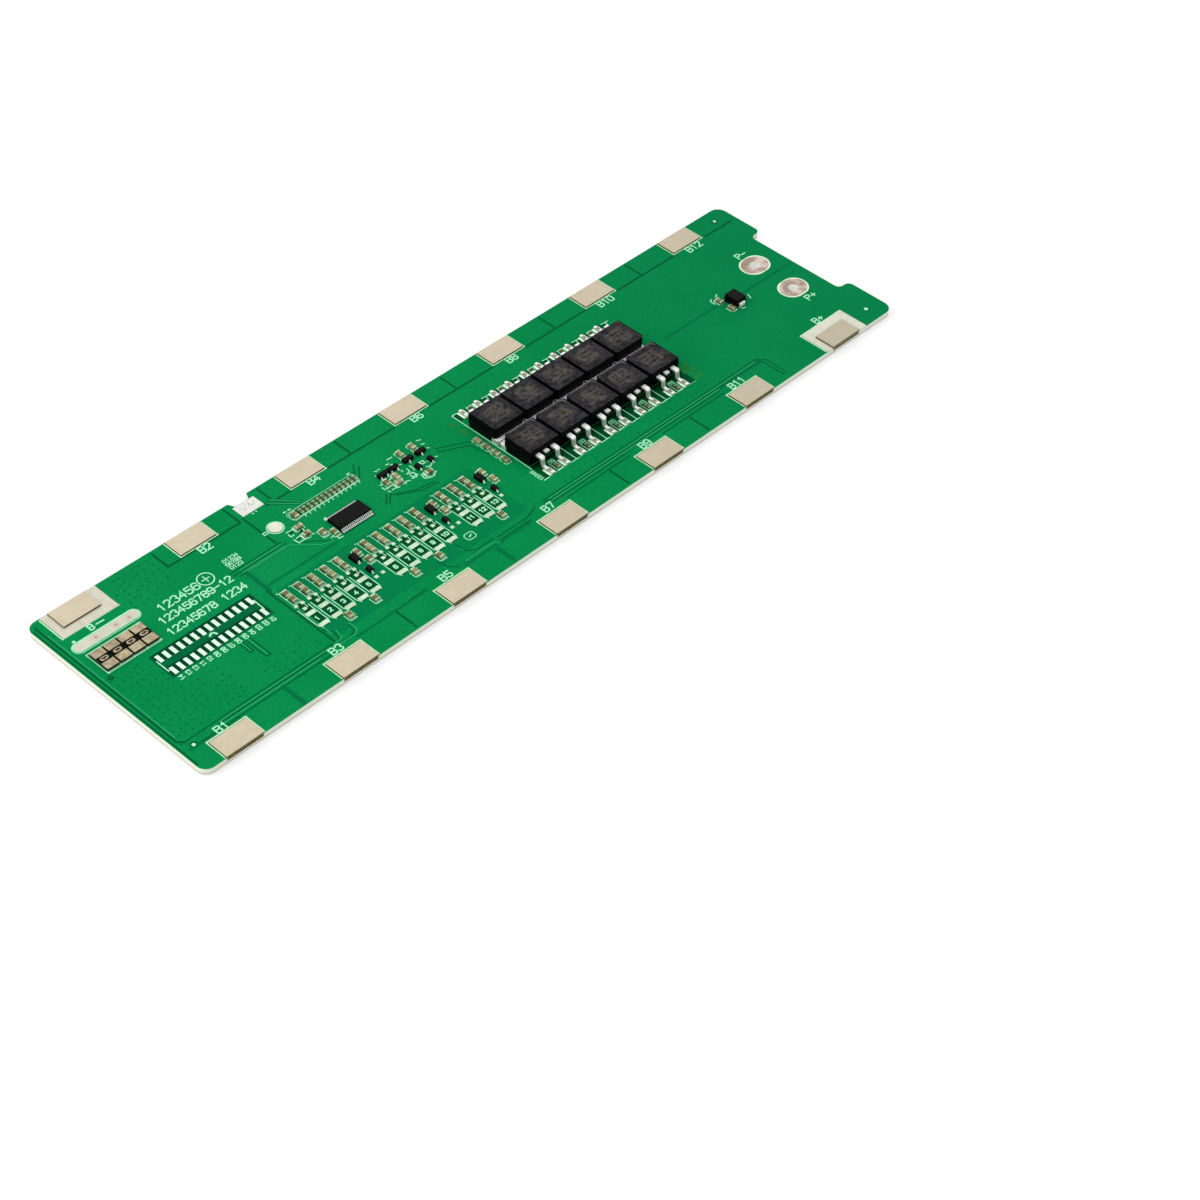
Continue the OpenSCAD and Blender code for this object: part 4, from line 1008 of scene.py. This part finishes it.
for x, y in ((64.8, 42.8), (64.5, 39.8), (92, 38.1), (99.7, 35.9)):
    ends += [toe(x + 1, y, -90, 1.2, 0.4), toe(x - 1, y, 90, 1.2, 0.4)]
for k in range(13):
    x = 68.9 + 1.4 * k
    ends += [toe(x, 47.2, 0, 0.8, 0.32), toe(x, 45.6, 180, 0.8, 0.32)]
lay("chip_solder", ends, end_tin, smooth=True)

# %% [markdown]
# ## Marks on the packages
#
# A laser turns the skin of a package a warm grey. The power transistors carry
# rows of short dashes, whose lengths come from a seeded generator. The shunts
# have a light window in their black coating with one dark dash.

# %% Laser marks and shunt windows
rng = np.random.default_rng(11)
PACK_TOP = 4.4
dashes = []
for k in range(PACKS):
    for row in (-1, 1):
        cx, cy = BANK_X + PITCH * k, BANK_Y + row * BODY_OUT
        for offset in (-1.9, -0.5, 0.9, 2.2):
            x = -2.6 + rng.uniform(0, 0.5)
            while x < 2.4:
                size = rng.uniform(0.25, 0.7)
                y = cy + row * (offset - 0.3)
                a, end = cx + x, y + rng.uniform(-0.2, 0.2)
                dashes += [stroke((a, y - 0.26, a + size * 0.3, y + 0.26), 0.2, PACK_TOP + 0.003, 1.0, 2),
                           stroke((a + size * 0.35, y + 0.22, a + size, end), 0.18, PACK_TOP, 1.0, 2)]
                x += size + 0.25
lay("laser_marks", dashes, two_tone("laser_marks", (72, 68, 64), (92, 86, 78), 1900, 0.6, 0.06))
# Painted highlight: pale strokes along the back top edge and right corner of each near-row package stand in
# for the light its rounded edge catches.
corners = []
y = BANK_Y - BODY_OUT
for k in range(PACKS):
    x = BANK_X + PITCH * k
    corners += [stroke((x - 3.4, y + 4.1, x + 3.5, y + 4.1), 0.2, PACK_TOP + 0.002, 1.0, 2),
                stroke((x + 3.4, y + 4.1, x + 4.1, y + 3.8, x + 4.3, y + 3), 0.3, PACK_TOP + 0.003, 1.0, 2)]
lay("painted_edge_highlights", corners, two_tone("painted_edge_highlight", (112, 112, 116), (92, 92, 96), 300, shine=0.05))
shunt_x = [6 + 3.7 * k for k in range(4)]
lay("shunt_windows", [stroke((x - 0.55, 40, x + 0.55, 40), 1.15, 0.912, 1.0) for x in shunt_x],
    shunt_alloy)
bars = [stroke((x - 0.5, 40.2, x - 0.1, 39.85, x + 0.2, 40.2, x + 0.55, 39.95), 0.34, 0.93, 1.0, 2)
        for x in shunt_x]
lay("shunt_dashes", bars, black_coating)

# %% [markdown]
# ## Underside
#
# The far face has no parts. Rows of plugged holes mark where the current is
# shared between the layers: short dense blocks behind each power transistor and
# long rows towards the terminals.

# %% Holes of the underside
def under(grid):
    """The same grid on the far face: its height above the top becomes a depth below zero."""
    g = grid.copy()
    g[..., 2] = -(g[..., 2] - TOP / 1000)
    return g


rows = [(296, 358, 64.5), (296, 358, 61.5), (296, 358, 40), (296, 358, 37), (190, 376, 20.5), (190, 376, 18),
        (193, 285, 77.3), (193, 285, 75.5)]
dots = [(x, y) for x0, x1, y in rows for x in np.arange(x0, x1, 3.3)]
for k in range(PACKS):
    for i in range(4):
        for j in range(4 if i < 2 else 2):
            dots += [(x + PACK_STEPS * k + 2.1 * i, y + 2.1 * j) for x, y in ((204.5, 65.5), (193.5, 24))]
dots += [(x, y) for x in (369.5, 372.5) for y in np.arange(77, 95, 2.6)]
dots += [(x, y) for x in (4, 7.5, 11.5, 15, 18.5) for y in np.arange(20, 60, 3.3)]
lay("underside_holes", [under(disc(x, y, 0.42, FIELD_Z)) for x, y in dots],
    dot_finish("cream_plugged_hole", cream_colour, (232, 218, 184), (84, 70, 44)),
    smooth=True, under=True)
